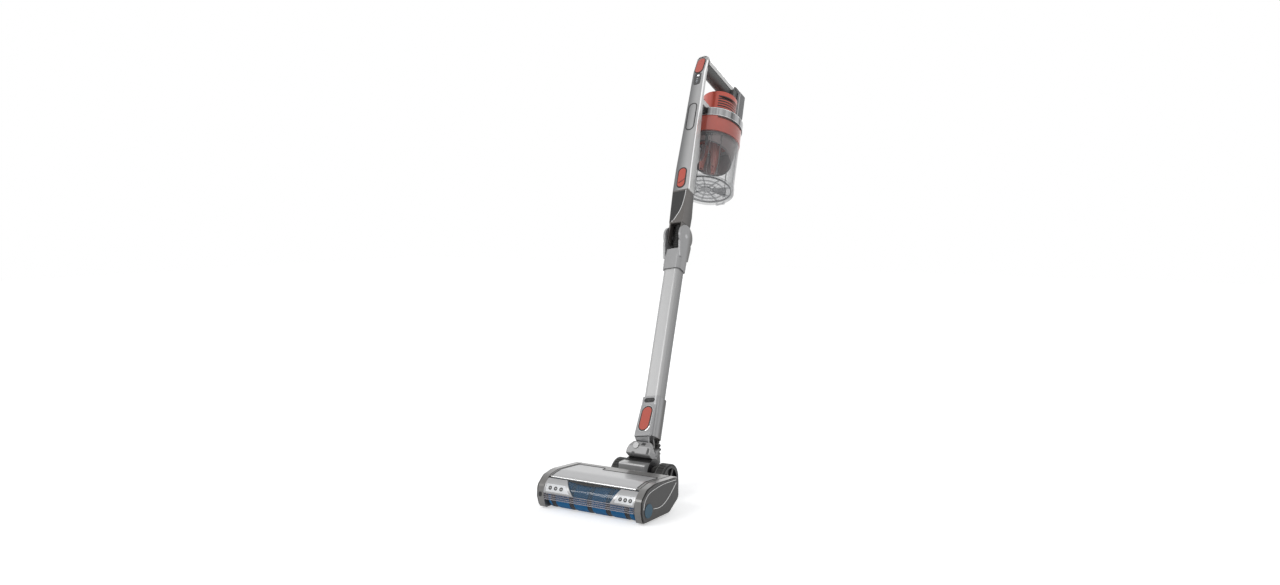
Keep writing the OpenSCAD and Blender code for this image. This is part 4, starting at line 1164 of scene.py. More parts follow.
@dataclass
class HeadLamps:
    """Light-emitting diodes with their reflector cups, three in each pod."""

    maker: MeshMaker
    ring_r: float = 37.75 * MM
    angle: float = 153.0
    cup_r: float = 3.6 * MM
    bulb_r: float = 1.9 * MM
    rise: float = 0.9 * MM
    left: tuple[float, ...] = (-97.0, -83.0, -69.0)
    right: tuple[float, ...] = (77.0, 89.0, 101.0)

    def build(self) -> None:
        """Makes the cups and the diodes of both pods."""
        centre = self.maker.layout.place("soft_roller_spin")
        turn = math.radians(self.angle)
        outward = Vector((0.0, math.cos(turn), math.sin(turn)))
        cups, bulbs = [], []
        for across in (*self.left, *self.right):
            base = Vector((across * MM, centre[1], centre[2])) + outward * self.ring_r
            spin = outward.to_track_quat("Z", "X").to_matrix().to_4x4()
            place = Matrix.Translation(base) @ spin
            cups.append(self._turned(((self.bulb_r, 0.0), (self.cup_r - 0.4 * MM, self.rise * 0.7),
                                      (self.cup_r, self.rise), (self.cup_r + 0.5 * MM, self.rise * 0.6),
                                      (self.cup_r + 0.6 * MM, -0.3 * MM), (self.bulb_r, -0.3 * MM)), place))
            dome = [(self.bulb_r * math.cos(a), self.bulb_r * 0.5 * math.sin(a))
                    for a in (math.pi / 2 * k / 6 for k in range(7))]
            bulbs.append(self._turned([(0.0001, -0.2 * MM), (self.bulb_r, -0.2 * MM), *dome[:-1],
                                       (0.0001, dome[-1][1])], place))
        self.maker.piece("lamp_cups", *Shapes.merge(cups), "head", ("lamp_bezel",))
        self.maker.piece("lamp_diodes", *Shapes.merge(bulbs), "head", ("led_glow",))

    @staticmethod
    def _turned(profile: Sequence[Point2], place: Matrix) -> tuple[list[Point], list[tuple[int, ...]]]:
        """Turns a profile about its own axis and puts it in place.

        Args:
            profile: pairs of radius and height.
            place: the axis's place.

        Returns:
            Points and faces.
        """
        verts, faces = Shapes.lathe(profile, (0.0, 0.0, 0.0), 24)
        return [tuple(place @ Vector(v)) for v in verts], faces


@dataclass
class Hoses:
    """The ribbed hoses where the neck steers and where the wand folds."""

    maker: MeshMaker
    fold_z: tuple[float, float] = (546.0, 626.0)
    fold_r: tuple[float, float] = (10.4, 12.4)
    neck_from: tuple[float, float] = (33.0, 37.0)
    neck_to: tuple[float, float] = (16.5, 82.0)
    neck_r: float = 7.6
    neck_arch: float = 9.0
    neck_swell: float = 5.0

    def build(self) -> None:
        """Makes both hoses."""
        layout = self.maker.layout
        path = [Vector(wand_point(0.0, 0.0, z)) for z in self._steps(*self.fold_z, 104)]
        fold = self._bellows("fold_bellows", path, lambda t: self.fold_r[0], lambda t: self.fold_r[1], 13)
        fold.data.transform(layout.wand)
        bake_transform(fold)
        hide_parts("flex_hose")
        (y0, z0), (y1, z1) = self.neck_from, self.neck_to
        path = []
        for t in self._steps(0.0, 1.0, 56):
            ease = t * t * (3.0 - 2.0 * t)
            arch = self.neck_arch * math.sin(math.pi * t) ** 2
            path.append(Vector(wand_point(0.0, y0 + (y1 - y0) * ease + arch, z0 + (z1 - z0) * t)))

        def crest(t: float) -> float:
            """Returns a rib's radius, fullest half way."""
            return self.neck_r + 1.3 + self.neck_swell * math.sin(math.pi * t) ** 0.7

        neck = self._bellows("neck_bellows", path, lambda t: self.neck_r, crest, 7)
        neck.data.transform(layout.neck)
        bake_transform(neck)
        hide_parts("neck_hose")

    @staticmethod
    def _steps(start: float, end: float, count: int) -> list[float]:
        """Returns evenly spaced values with both ends."""
        return [start + (end - start) * i / count for i in range(count + 1)]

    def _bellows(self, name: str, path: Sequence[Vector], root: Callable[[float], float],
                 crest: Callable[[float], float], ribs: int) -> bpy.types.Object:
        """A tube with round ribs.

        Args:
            name: the piece's name.
            path: points along its middle, in metres.
            root: radius between the ribs in millimetres, by the share of the way along.
            crest: radius on a rib in millimetres, by the share of the way along.
            ribs: how many ribs.

        Returns:
            The piece.
        """
        def radius(share: float) -> float:
            """Returns the radius at a share of the length."""
            wave = (0.5 - 0.5 * math.cos(2 * math.pi * ribs * share)) ** 0.6
            return (root(share) + (crest(share) - root(share)) * wave) * MM

        verts, faces = Shapes.tube(path, radius, 40)
        return self.maker.piece(name, verts, faces, "", ("black_rubber",))


def wand_point(x: float, y: float, z: float) -> Point:
    """Returns a point given in millimetres as metres."""
    return (x * MM, y * MM, z * MM)


@dataclass
class FrontTrim:
    """Rims, badge outline, lights and bright lines on the wand's and the spine's front."""

    maker: MeshMaker
    spine: tuple[Point2, ...] = ((704.0, -25.0), (764.0, -27.0), (1059.0, -23.5), (1111.0, -14.0))
    half_w: tuple[Point2, ...] = ((704.0, 21.5), (904.0, 17.5), (1111.0, 14.5))
    base: tuple[Point2, ...] = ((613.0, -23.0), (704.0, -25.0))
    plate: tuple[Point2, ...] = ((79.0, -28.5), (147.0, -19.6), (167.0, -19.6))
    badge: tuple[float, float, float] = (919.0, 12.6, 41.0)
    release: tuple[float, float, float] = (738.0, 10.0, 26.0)
    wand_button: tuple[float, float, float] = (113.0, 12.0, 28.0)
    power: tuple[float, float, float, float] = (-18.4, 1080.0, 11.0, 25.0)
    power_tilt: float = 10.5
    skin: float = 5.0

    def build(self) -> None:
        """Makes the pieces."""
        self._badge()
        self._button_rims()
        self._release_mark()
        self._display()
        self._edges()
        self._base_inlay()
        self._catch()

    @staticmethod
    def along(line: Sequence[Point2], z: float) -> float:
        """Reads a bent line at a height, in millimetres."""
        for (z0, y0), (z1, y1) in zip(line, line[1:]):
            if z <= z1:
                return y0 + (y1 - y0) * (z - z0) / (z1 - z0)
        return line[-1][1]

    def _ring(self, name: str, spot: tuple[float, float, float], margins: tuple[float, float],
              face: Callable[[float], float], rise: float, body: str, finish: str) -> None:
        """A raised oval outline on a front face.

        Args:
            name: the piece's name.
            spot: its middle's z, half its width and half its height.
            margins: how far its inner and outer edges stand outside that size.
            face: the face's y at a z.
            rise: how far it stands in front of the face.
            body: the body it rides on.
            finish: its finish.
        """
        middle, half_w, half_h = spot
        inner = Shapes.oval(half_w + margins[0], half_h + margins[0], 72)
        outer = Shapes.oval(half_w + margins[1], half_h + margins[1], 72)
        rows = [[wand_point(u, face(middle + v) - lift, middle + v) for u, v in outline]
                for outline, lift in ((outer, -0.3), (outer, rise * 0.6), (inner, rise), (inner, -0.3))]
        rows.append(rows[0])
        self.maker.piece(name, *Shapes.grid(rows), body, (finish,), on_wand=True)

    def _badge(self) -> None:
        """A bare raised oval outline, with a plain pad inside it."""
        def face(z: float) -> float:
            """Returns the spine's front."""
            return self.along(self.spine, z)

        self._ring("badge_ring", self.badge, (-2.0, 0.4), face, 0.55, "handheld", "black_plastic")
        middle, half_w, half_h = self.badge
        pad = Shapes.oval(half_w - 3.0, half_h - 3.0, 64)
        rows = [[wand_point(u, face(middle + v) - lift, middle + v) for u, v in
                 [(a * grow, b * grow) for a, b in pad]]
                for grow, lift in ((1.0, -0.2), (1.0, 0.2), (0.97, 0.3))]
        verts, faces = Shapes.grid(rows, capped=True)
        self.maker.piece("badge_pad", verts, faces, "handheld", ("satin_grey",), on_wand=True)

    def _button_rims(self) -> None:
        """Black surrounds of the three buttons, with a fine bright line round the lower one."""
        def spine(z: float) -> float:
            """Returns the spine's front."""
            return self.along(self.spine, z)

        def plate(z: float) -> float:
            """Returns the lower collar's front."""
            return self.along(self.plate, z)

        self._ring("release_rim", self.release, (0.5, 2.9), spine, 0.8, "handheld", "black_plastic")
        self._ring("wand_rim", self.wand_button, (0.2, 3.2), plate, 0.6, "wand", "black_plastic")
        self._ring("wand_rim_line", self.wand_button, (3.2, 4.1), plate, 0.7, "wand", "bright_trim")
        y, z, half_w, half_h = self.power
        tilt = math.radians(self.power_tilt)
        rows = []
        for margin, lift in ((2.6, -0.6), (2.6, 1.2), (0.5, 1.8), (0.5, -0.6)):
            rows.append([wand_point(u, y - lift * math.cos(tilt) + v * math.sin(tilt),
                                    z + lift * math.sin(tilt) + v * math.cos(tilt))
                         for u, v in Shapes.oval(half_w + margin, half_h + margin, 72)])
        rows.append(rows[0])
        self.maker.piece("power_rim", *Shapes.grid(rows), "handheld", ("black_plastic",), on_wand=True)

    def _release_mark(self) -> None:
        """A slanted dark line across the release button."""
        z, half_w, _ = self.release
        front = self.along(self.spine, z) - 1.35
        path = [Vector(wand_point(x, front, z + shift)) for x, shift in (
            (half_w * 0.96, -5.0), (half_w * 0.4, -9.5), (-half_w * 0.2, -13.0), (-half_w * 0.78, -15.0))]
        verts, faces = Shapes.tube(path, 0.75 * MM, 8)
        self.maker.piece("release_mark", verts, faces, "release_button", ("black_plastic",), on_wand=True)

    def _display(self) -> None:
        """Three charge lights and the mode light on the display."""
        y = -25.0 + 0.6
        parts = []
        for z in (1026.0, 1031.0, 1036.0):
            outline = Shapes.oval(0.7, 2.2, 20)
            parts.append(Shapes.slab(outline, -0.1, 0.2, lambda u, v, h, z=z: wand_point(
                v, y - h, z + u)))
        self.maker.piece("charge_lights", *Shapes.merge(parts), "handheld", ("status_light",), on_wand=True)
        outline = Shapes.oval(2.3, 3.6, 32)
        verts, faces = Shapes.slab(outline, -0.1, 0.25, lambda u, v, h: wand_point(
            2.0 + v, y - h, 1045.5 + u))
        self.maker.piece("mode_light", verts, faces, "handheld", ("mode_glow",), on_wand=True)

    def _edges(self) -> None:
        """Bright strips where the front shell meets the spine."""
        for side, name in ((1, "right"), (-1, "left")):
            rows = []
            for i in range(41):
                z = 706.0 + (1100.0 - 706.0) * i / 40
                edge, front = self.along(self.half_w, z), self.along(self.spine, z)
                corners = [(side * (edge - 1.0), front + 2.2, 0.2), (side * (edge + 0.5), front + 3.0, 0.3),
                           (side * (edge + 0.5), front + self.skin + 4.0, 0.3),
                           (side * (edge - 1.0), front + self.skin + 4.6, 0.2)]
                rows.append([wand_point(u, v, z) for u, v in self.maker.rounded_loop(corners, 3)])
            verts, faces = Shapes.grid(rows, capped=True)
            self.maker.piece(f"spine_bead_{name}", verts, faces, "handheld", ("bright_bead",), on_wand=True)

    def _base_inlay(self) -> None:
        """A black inlay on the base's front with a curved bright edge."""
        curve = [(17.5, 700.0), (16.0, 680.0), (12.5, 660.0), (7.5, 645.0), (0.5, 633.0), (-7.0, 622.0),
                 (-12.0, 617.5)]
        edge = [(-12.5, 617.5), (-17.5, 618.0), (-19.6, 660.0), (-20.4, 700.0)]
        outline = [*curve, *edge]

        def place(u: float, v: float, h: float) -> Point:
            """Returns a point on the base's front."""
            return wand_point(u, self.along(self.base, v) - h, v)

        verts, faces = Shapes.slab(outline, -0.3, 0.35, place)
        self.maker.piece("base_inlay", verts, faces, "handheld", ("black_plastic",), on_wand=True,
                         smooth=False)
        path = [Vector(place(u, v, 0.3)) for u, v in curve]
        verts, faces = Shapes.tube(self.maker.curved(path, 6), 0.8 * MM, 8)
        self.maker.piece("base_line", verts, faces, "handheld", ("bright_trim",), on_wand=True)

    def _catch(self) -> None:
        """Painted shade: a dark ribbed piece that darkens the recess at the lower collar's top."""
        y, z = -19.6 + 1.2, 158.0
        outline = [(v, u) for u, v in Shapes.oval(5.1, 13.6, 48)]
        plate = Shapes.slab(outline, -0.2, 0.55, lambda u, v, h: wand_point(u, y - h, z + v))
        parts = [plate]
        for shift in (-2.2, 0.0, 2.2):
            parts.append(Shapes.slab([(-9.5, shift - 0.5), (9.5, shift - 0.5), (9.5, shift + 0.5),
                                      (-9.5, shift + 0.5)], 0.5, 1.0,
                                     lambda u, v, h: wand_point(u, y - h, z + v)))
        self.maker.piece("collar_recess_shade", *Shapes.merge(parts), "wand", ("black_plastic",), on_wand=True,
                         smooth=False)


@dataclass
class CupDetails:
    """Ribs, fins, gasket and inlet of the dust cup, all in the wand's frame in millimetres."""

    maker: MeshMaker
    centre_y: float = CUP_Y
    low: float = 772.0
    top: float = 904.0
    wall_r: float = 67.6
    skirt_low_r: float = 52.0
    skirt_top_r: float = 65.0
    skirt_l: float = 68.0
    skirt_cut: float = 45.5
    skirt_slope: float = 0.34
    fins: int = 72
    spokes: int = 9
    rim: tuple[Point2, ...] = ((-2.2, 0.2), (0.9, 0.2), (0.9, 1.6), (-2.2, 1.6))
    catch: tuple[tuple[float, ...], ...] = ((-84.0, -60.0, 893.0, 898.5, 1.4),
                                            (-75.0, -69.0, 866.0, 893.0, 1.2))
    rails: tuple[float, ...] = (-150.0, -112.0, -62.0, -38.0, 15.0, 80.0, 150.0)

    def build(self) -> None:
        """Makes the pieces."""
        self._fins()
        self._slot()
        self._ribs()
        self._door()
        self._inlet()

    def _radial(self, angle: float, profile: Sequence[Point2],
                half: float) -> tuple[list[Point], list[tuple[int, ...]]]:
        """A thin upright plate on a radius of the cup.

        Args:
            angle: the radius's direction, in radians.
            profile: outline as pairs of radius and height.
            half: half the plate's thickness.

        Returns:
            Points and faces.
        """
        c, s = math.cos(angle), math.sin(angle)

        def place(u: float, v: float, across: float) -> Point:
            """Returns the plate's point."""
            return wand_point(u * c - across * s, self.centre_y + u * s + across * c, v)

        return Shapes.slab(profile, -half, half, place)

    def _skirt_r(self, z: float) -> float:
        """Returns the skirt's outer radius at a height."""
        share = (z - self.top + self.skirt_l) / (self.skirt_l - 2.0)
        return self.skirt_low_r + (self.skirt_top_r - self.skirt_low_r) * share

    def _skirt_edge(self, angle: float) -> float:
        """Returns the height of the skirt's slanted edge in a direction."""
        middle = self.top - self.skirt_cut
        return middle - self._skirt_r(middle) * math.sin(angle) * self.skirt_slope

    def _fins(self) -> None:
        """Fine ribs round the lower half of the skirt, and a rim along its slanted edge."""
        parts = []
        for i in range(self.fins):
            angle = 2 * math.pi * i / self.fins
            low, high = self._skirt_edge(angle) + 3.0, self.top - 16.0
            if high - low < 8.0:
                continue
            profile = [(self._skirt_r(high) + 0.05, high), (self._skirt_r(low) + 0.45, low),
                       (self._skirt_r(low) - 0.6, low), (self._skirt_r(high) - 0.6, high)]
            parts.append(self._radial(angle, profile, 0.45))
        self.maker.piece("shroud_fins", *Shapes.merge(parts), "handheld", ("shroud_grey",), on_wand=True,
                         smooth=False)
        rows = []
        for i in range(97):
            angle = 2 * math.pi * i / 96
            z = self._skirt_edge(angle)
            c, s = math.cos(angle), math.sin(angle)
            ring = []
            for out, up in self.rim:
                reach = self._skirt_r(z) + out
                ring.append(wand_point(reach * c, self.centre_y + reach * s, z + up))
            rows.append(ring)
        self.maker.piece("shroud_rim", *Shapes.grid(rows), "handheld", ("lamp_bezel",), on_wand=True)

    def _slot(self) -> None:
        """The black catch and its clip on the skirt's front."""
        parts = []
        for start, end, low, high, out in self.catch:
            rows = []
            for i in range(9):
                angle = math.radians(start + (end - start) * i / 8)
                c, s = math.cos(angle), math.sin(angle)
                ring = []
                for r, z in ((-0.5, low), (out, low), (out, high), (-0.5, high)):
                    reach = min(self._skirt_r(z), self.skirt_top_r) + r
                    ring.append(wand_point(reach * c, self.centre_y + reach * s, z))
                rows.append(ring)
            parts.append(Shapes.grid(rows, capped=True))
        self.maker.piece("shroud_catch", *Shapes.merge(parts), "handheld", ("black_plastic",), on_wand=True,
                         smooth=False)

    def _ribs(self) -> None:
        """Upright rails inside the clear cup."""
        profile = [(self.wall_r, self.low + 6.0), (self.wall_r, self.top - 8.0),
                   (self.wall_r - 2.2, self.top - 12.0), (self.wall_r - 2.2, self.low + 10.0)]
        verts, faces = Shapes.merge(self._radial(math.radians(a), profile, 0.9) for a in self.rails)
        self.maker.piece("cup_rails", verts, faces, "dust_cup", ("clear_rail",), on_wand=True)

    def _door(self) -> None:
        """Spokes, hub, dark flap and gasket of the door."""
        floor = self.low - 5.0
        parts = []
        for i in range(self.spokes):
            profile = [(12.0, floor + 0.05), (62.5, floor + 0.05), (62.5, floor + 3.6), (12.0, floor + 4.6)]
            parts.append(self._radial(2 * math.pi * (i + 0.3) / self.spokes, profile, 1.1))
        for radius in (26.0, 44.0):
            wall = [(radius, 0.05), (radius + 1.6, 0.05), (radius + 1.6, 3.4), (radius, 3.4)]
            parts.append(Shapes.lathe([(r * MM, z * MM) for r, z in wall],
                                      wand_point(0.0, self.centre_y, floor), 64))
        hub = [(6.0, 0.05), (13.0, 0.05), (13.0, 5.2), (11.0, 6.2), (6.0, 6.2)]
        parts.append(Shapes.lathe([(r * MM, z * MM) for r, z in hub],
                                  wand_point(0.0, self.centre_y, floor), 40))
        self.maker.piece("door_spokes", *Shapes.merge(parts), "cup_door", ("clear_rail",), on_wand=True)
        ring = [(62.6, 0.05), (63.9, 0.05), (63.9, 4.6), (62.6, 4.6)]
        verts, faces = Shapes.lathe([(r * MM, z * MM) for r, z in ring],
                                    wand_point(0.0, self.centre_y, floor), 96)
        self.maker.piece("door_gasket", verts, faces, "cup_door", ("black_rubber",), on_wand=True)
        flap = [(16.0 + 40.0 * t, a) for t, a in ((0.0, 0.3), (1.0, 0.14), (1.0, 1.0), (0.0, 0.85))]
        outline = [(r * math.cos(a), r * math.sin(a)) for r, a in flap]
        verts, faces = Shapes.slab(outline, floor + 0.1, floor + 1.1, lambda u, v, h: wand_point(
            u, self.centre_y + v, h))
        self.maker.piece("door_flap", verts, faces, "cup_door", ("dark_plastic",), on_wand=True,
                         smooth=False)

    def _inlet(self) -> None:
        """The short inlet pipe between the spine and the skirt."""
        path = [Vector(wand_point(0.0, y, z)) for y, z in (
            (22.0, 824.0), (30.0, 826.0), (38.0, 832.0), (43.0, 842.0), (45.0, 856.0), (45.5, 874.0))]
        verts, faces = Shapes.tube(path, 8.4 * MM, 24)
        self.maker.piece("inlet_pipe", verts, faces, "handheld", ("clear_rail",), on_wand=True)


@dataclass
class HandheldDetails:
    """Small pieces on the motor housing, battery and handle, in the wand's frame."""

    maker: MeshMaker
    motor_y: float = 94.0
    cup_y: float = CUP_Y
    band_top: float = 971.0
    band_low: float = 948.0
    sleeve_r: float = 43.0
    sleeve_z: tuple[float, float] = (9.2, 68.0)
    house_r: float = 46.0
    vents: int = 7
    vent_pitch: float = 7.4
    battery_y: float = 134.0
    battery_z: float = 1023.0
    battery_d: float = 36.0
    battery_h: float = 90.0

    def build(self) -> None:
        """Makes the pieces."""
        self._sleeve()
        self._vents()
        self._battery()
        self._band_lips()
        self._handle()

    def _turned(self, name: str, profile: Sequence[Point2], y: float, z: float, finish: str,
                body: str = "handheld") -> None:
        """A turned piece about the wand's direction.

        Args:
            name: the piece's name.
            profile: pairs of radius and height, in millimetres.
            y: its axis's y.
            z: its base's z.
            finish: its finish.
            body: the body it rides on.
        """
        verts, faces = Shapes.lathe([(r * MM, h * MM) for r, h in profile], wand_point(0.0, y, z), 96)
        self.maker.piece(name, verts, faces, body, (finish,), on_wand=True)

    def _sleeve(self) -> None:
        """Painted shade: a dark pleated sleeve behind the vent slots on both sides, standing in for the shade
        inside them.
        """
        parts = []
        for start, end in ((-68.0, 34.0), (146.0, 248.0)):
            rows = []
            pleats = 34
            for i in range(2 * pleats + 1):
                angle = math.radians(start + (end - start) * i / (2 * pleats))
                reach = self.sleeve_r - (1.6 if i % 2 else 0.0)
                c, s = math.cos(angle), math.sin(angle)
                low, high = self.sleeve_z
                section = ((reach - 1.4, low), (reach, low), (reach, high), (reach - 1.4, high))
                rows.append([wand_point(r * c, self.motor_y + r * s, self.band_top + z) for r, z in section])
            parts.append(Shapes.grid(rows, capped=True))
        self.maker.piece("vent_backing_shade", *Shapes.merge(parts), "handheld", ("black_plastic",), on_wand=True,
                         smooth=False)

    def _vents(self) -> None:
        """Painted shade: black fills, flush with the housing, that make every vent slot of the motor housing
        read dark.
        """
        parts = []
        for start, end in ((-62.0, 28.0), (152.0, 242.0)):
            for i in range(self.vents):
                z = self.band_top + 12.0 + self.vent_pitch * i
                rows = []
                for k in range(25):
                    angle = math.radians(start + (end - start) * k / 24)
                    c, s = math.cos(angle), math.sin(angle)
                    rows.append([wand_point(r * c, self.motor_y + r * s, z + up) for r, up in (
                        (44.0, -0.3), (self.house_r + 0.15, -0.3), (self.house_r + 0.15, 3.5), (44.0, 3.5))])
                parts.append(Shapes.grid(rows, capped=True))
        self.maker.piece("vent_painted_shade", *Shapes.merge(parts), "handheld", ("black_plastic",), on_wand=True,
                         smooth=False)

    def _band_lips(self) -> None:
        """Fine beads along both edges of the bright band, and small teeth under its right side."""
        for name, z in (("band_lip_low", self.band_low + 0.4), ("band_lip_high", self.band_top - 2.0)):
            profile = [(72.0 + 0.7 * math.cos(a), 0.8 + 0.7 * math.sin(a))
                       for a in (2 * math.pi * k / 10 for k in range(10))]
            self._turned(name, profile, self.cup_y, z, "bright_trim")
        parts = []
        for i in range(26):
            angle = math.radians(-52.0 + 2.6 * i)
            c, s = math.cos(angle), math.sin(angle)
            outline = [(-1.0, -5.2), (1.0, -5.2), (1.0, -0.2), (-1.0, -0.2)]
            parts.append(Shapes.slab(outline, 70.6, 72.1, lambda u, v, h, c=c, s=s: wand_point(
                h * c - u * s, self.cup_y + h * s + u * c, self.band_low + v)))
        self.maker.piece("band_teeth", *Shapes.merge(parts), "handheld", ("dark_plastic",), on_wand=True,
                         smooth=False)

    def _battery(self) -> None:
        """Grip ribs, release tab and bright seam of the battery."""
        back = self.battery_y + self.battery_d
        parts = []
        for i in range(7):
            z = self.battery_z + 12.0 + 4.2 * i
            outline = [(-17.0, z), (17.0, z), (16.0, z + 1.8), (-16.0, z + 1.8)]
            parts.append(Shapes.slab(outline, back - 0.4, back + 0.45,
                                     lambda u, v, h: wand_point(u, h, v)))
        self.maker.piece("battery_grips", *Shapes.merge(parts), "battery", ("battery_grey",), on_wand=True,
                         smooth=False)
        tab = Shapes.oval(5.0, 13.0, 32)
        top = self.battery_z + self.battery_h
        verts, faces = Shapes.slab(tab, top - 0.3, top + 1.2,
                                   lambda u, v, h: wand_point(v, self.battery_y + 18.0 + u, h))
        self.maker.piece("battery_tab", verts, faces, "battery", ("black_plastic",), on_wand=True)
        half = 29.0
        profile = [(-half, 0.0, 6.0), (half, 0.0, 6.0), (half, 76.0, 4.0), (17.0, 90.0, 4.0),
                   (-17.0, 90.0, 4.0), (-half, 76.0, 4.0)]
        path = [Vector(wand_point(u, self.battery_y + 9.0, self.battery_z + v))
                for u, v in self.maker.rounded_loop(profile)]
        path.append(path[0])
        verts, faces = Shapes.tube(path, 0.7 * MM, 8)
        self.maker.piece("battery_seam", verts, faces, "battery", ("bright_trim",), on_wand=True)

    def _handle(self) -> None:
        """Fine ribs along the underside of the handle."""
        under = 1070.8
        parts = []
        for i in range(9):
            y = 8.0 + 7.0 * i
            outline = [(-5.0, y - 0.9), (5.0, y - 0.9), (5.0, y + 0.9), (-5.0, y + 0.9)]
            parts.append(Shapes.slab(outline, -0.6, 0.3, lambda u, v, h: wand_point(u, v, under + h)))
        self.maker.piece("grip_ribs", *Shapes.merge(parts), "handheld", ("grip_rubber",), on_wand=True,
                         smooth=False)


@dataclass
class HeadTrim:
    """Gasket, lip, seams, bumper and side lines, and catch of the head, with the neck's small marks."""

    maker: MeshMaker
    window_top: float = 118.0
    window: tuple[float, float] = (-61.0, 68.0)
    cap_x: float = 112.0
    side_x: float = 130.9
    panel_side: tuple[float, float] = (-106.0, 104.0)
    panel_y: tuple[float, float, float] = (-107.0, -22.0, -5.0)
    notch_x: tuple[float, float] = (-38.0, -33.0)
    yoke_front: float = -35.0
    yoke_bend: float = 46.0
    duct: tuple[float, float] = (11.1, 33.0)
    notches: tuple[tuple[Point2, ...], ...] = (
        ((2.0, 49.0), (12.0, 48.0), (12.5, 54.0), (3.0, 55.5)),
        ((-16.0, 28.0), (-8.0, 27.2), (-8.5, 31.0), (-15.0, 31.5)),
        ((21.0, 28.5), (27.0, 29.5), (27.0, 41.0), (22.0, 43.0)))

    def build(self) -> None:
        """Makes the pieces."""
        self.outline = self._hull()
        self._gasket()
        self._bumper_lines()
        self._seams()
        self._side_lines()
        self._catch()
        self._neck_bits()

    def _hull(self) -> list[Point2]:
        """Upper outline of the head's cover from the side, as pairs of y and z in metres."""
        points = set()
        for name in ("rear_cover", "top_panel", "end_cap_right"):
            for vertex in self.maker.layout.nodes[name].data.vertices:
                points.add((round(vertex.co.y, 5), round(vertex.co.z, 5)))
        hull: list[Point2] = []
        for point in sorted(points):
            while len(hull) > 1 and ((hull[-1][0] - hull[-2][0]) * (point[1] - hull[-2][1])
                                     - (hull[-1][1] - hull[-2][1]) * (point[0] - hull[-2][0])) >= 0:
                hull.pop()
            hull.append(point)
        return hull

    def _top(self, y: float) -> float:
        """Returns the cover's height at a y, both in metres."""
        return FrontTrim.along([(a, b) for a, b in self.outline], y)

    def _hood(self, x: float, angle: float, radius: float) -> Point:
        """Returns a point on the hood over the soft roller.

        Args:
            x: across the head, in millimetres.
            angle: from the back over the top to the front, in degrees.
            radius: from the roller's axis, in millimetres.

        Returns:
            The point in metres.
        """
        centre = self.maker.layout.place("soft_roller_spin")
        turn = math.radians(angle)
        return (x * MM, centre[1] + radius * MM * math.cos(turn), centre[2] + radius * MM * math.sin(turn))

    def _gasket(self) -> None:
        """The black seal along the window's top edge, deeper towards the left, and the bright lip."""
        low, high = self.window
        count = 48
        rows = []
        for inner, radius in ((False, 37.05), (False, 37.7), (True, 37.5), (True, 37.05)):
            row = []
            for i in range(count + 1):
                share = i / count
                depth = 4.5 + 8.5 * math.sin(math.pi * min(1.0, share * 1.25)) ** 2 * (1.0 - share * 0.5)
                row.append(self._hood(low + (high - low) * share,
                                      self.window_top - 1.5 + (depth if inner else 0.0), radius))
            rows.append(row)
        rows.append(rows[0])
        self.maker.piece("window_gasket", *Shapes.grid(rows, closed=False), "head", ("black_plastic",))
        y = self.panel_y[0] * MM
        path = [Vector((x * MM, y - 0.6 * MM, self._top(y) - 0.1 * MM))
                for x in range(int(self.panel_side[0]), int(self.panel_side[1]) + 1, 5)]
        self.maker.piece("panel_lip", *Shapes.tube(path, 1.2 * MM, 10), "head", ("bright_bead",))

    def _bumper_lines(self) -> None:
        """Fine light lines along the clear bumper."""
        parts = []
        for angle, width in ((171.5, 0.55), (178.0, 0.4), (184.5, 0.4), (190.5, 0.55)):
            path = [Vector(self._hood(x, angle, 37.6)) for x in range(-111, 112, 6)]
            parts.append(Shapes.tube(path, width * MM, 6))
        self.maker.piece("bumper_lines", *Shapes.merge(parts), "head", ("clear_line",))

    def _seams(self) -> None:
        """Dark seals round the top panel and beside the end caps."""
        left, right = self.panel_side
        front, back, notch = self.panel_y
        corners = [(left, front + 2.0), (left, notch), (self.notch_x[0], notch), (self.notch_x[1], back),
                   (right, back), (right, front + 2.0)]
        path = []
        for (x0, y0), (x1, y1) in zip(corners, corners[1:]):
            steps = max(2, int(math.hypot(x1 - x0, y1 - y0) / 3.0))
            path += [(x0 + (x1 - x0) * i / steps, y0 + (y1 - y0) * i / steps) for i in range(steps)]
        points = [Vector((x * MM, y * MM, self._top(y * MM) + 0.1 * MM)) for x, y in path]
        self.maker.piece("panel_seal", *Shapes.tube(points, 0.75 * MM, 8), "head", ("black_rubber",))
        for side, name in ((1, "right"), (-1, "left")):
            points = [Vector((side * self.cap_x * MM, y * MM, self._top(y * MM) + 0.05 * MM))
                      for y in range(-104, 15, 3)]
            verts, faces = Shapes.tube(points, 0.6 * MM, 8)
            self.maker.piece(f"cap_seal_{name}", verts, faces, "head", ("black_rubber",))

    def _side_lines(self) -> None:
        """Fine bright lines that sweep round each side panel."""
        front_y = self.maker.layout.place("soft_roller_spin")[1] / MM
        sweep = [(front_y + 6.0, 27.0), (front_y + 30.0, 24.5), (front_y + 52.0, 29.0),
                 (front_y + 72.0, 40.0), (front_y + 90.0, 54.0), (front_y + 98.0, 61.0)]
        top = [(front_y - 31.0, 33.0), (front_y - 27.0, 47.0), (front_y - 13.0, 60.0), (front_y + 12.0, 66.0),
               (front_y + 50.0, 69.0), (front_y + 98.0, 67.0)]
        for side, name in ((1, "right"), (-1, "left")):
            parts = []
            for points, width in ((sweep, 0.7), (top, 0.6)):
                path = [Vector((side * self.side_x * MM, y * MM, z * MM)) for y, z in points]
                parts.append(Shapes.tube(self.maker.curved(path, 12), width * MM, 8))
            self.maker.piece(f"side_line_{name}", *Shapes.merge(parts), "head", ("bright_trim",))

    def _catch(self) -> None:
        """The small black catch on the left end cap."""
        outline = Shapes.oval(3.2, 5.4, 24)
        verts, faces = Shapes.slab(outline, 0.0, 1.0, lambda u, v, h: self._hood(
            -121.0 + u, 178.0 + v * 1.45, 37.0 + h))
        self.maker.piece("cap_catch", verts, faces, "head", ("black_plastic",))

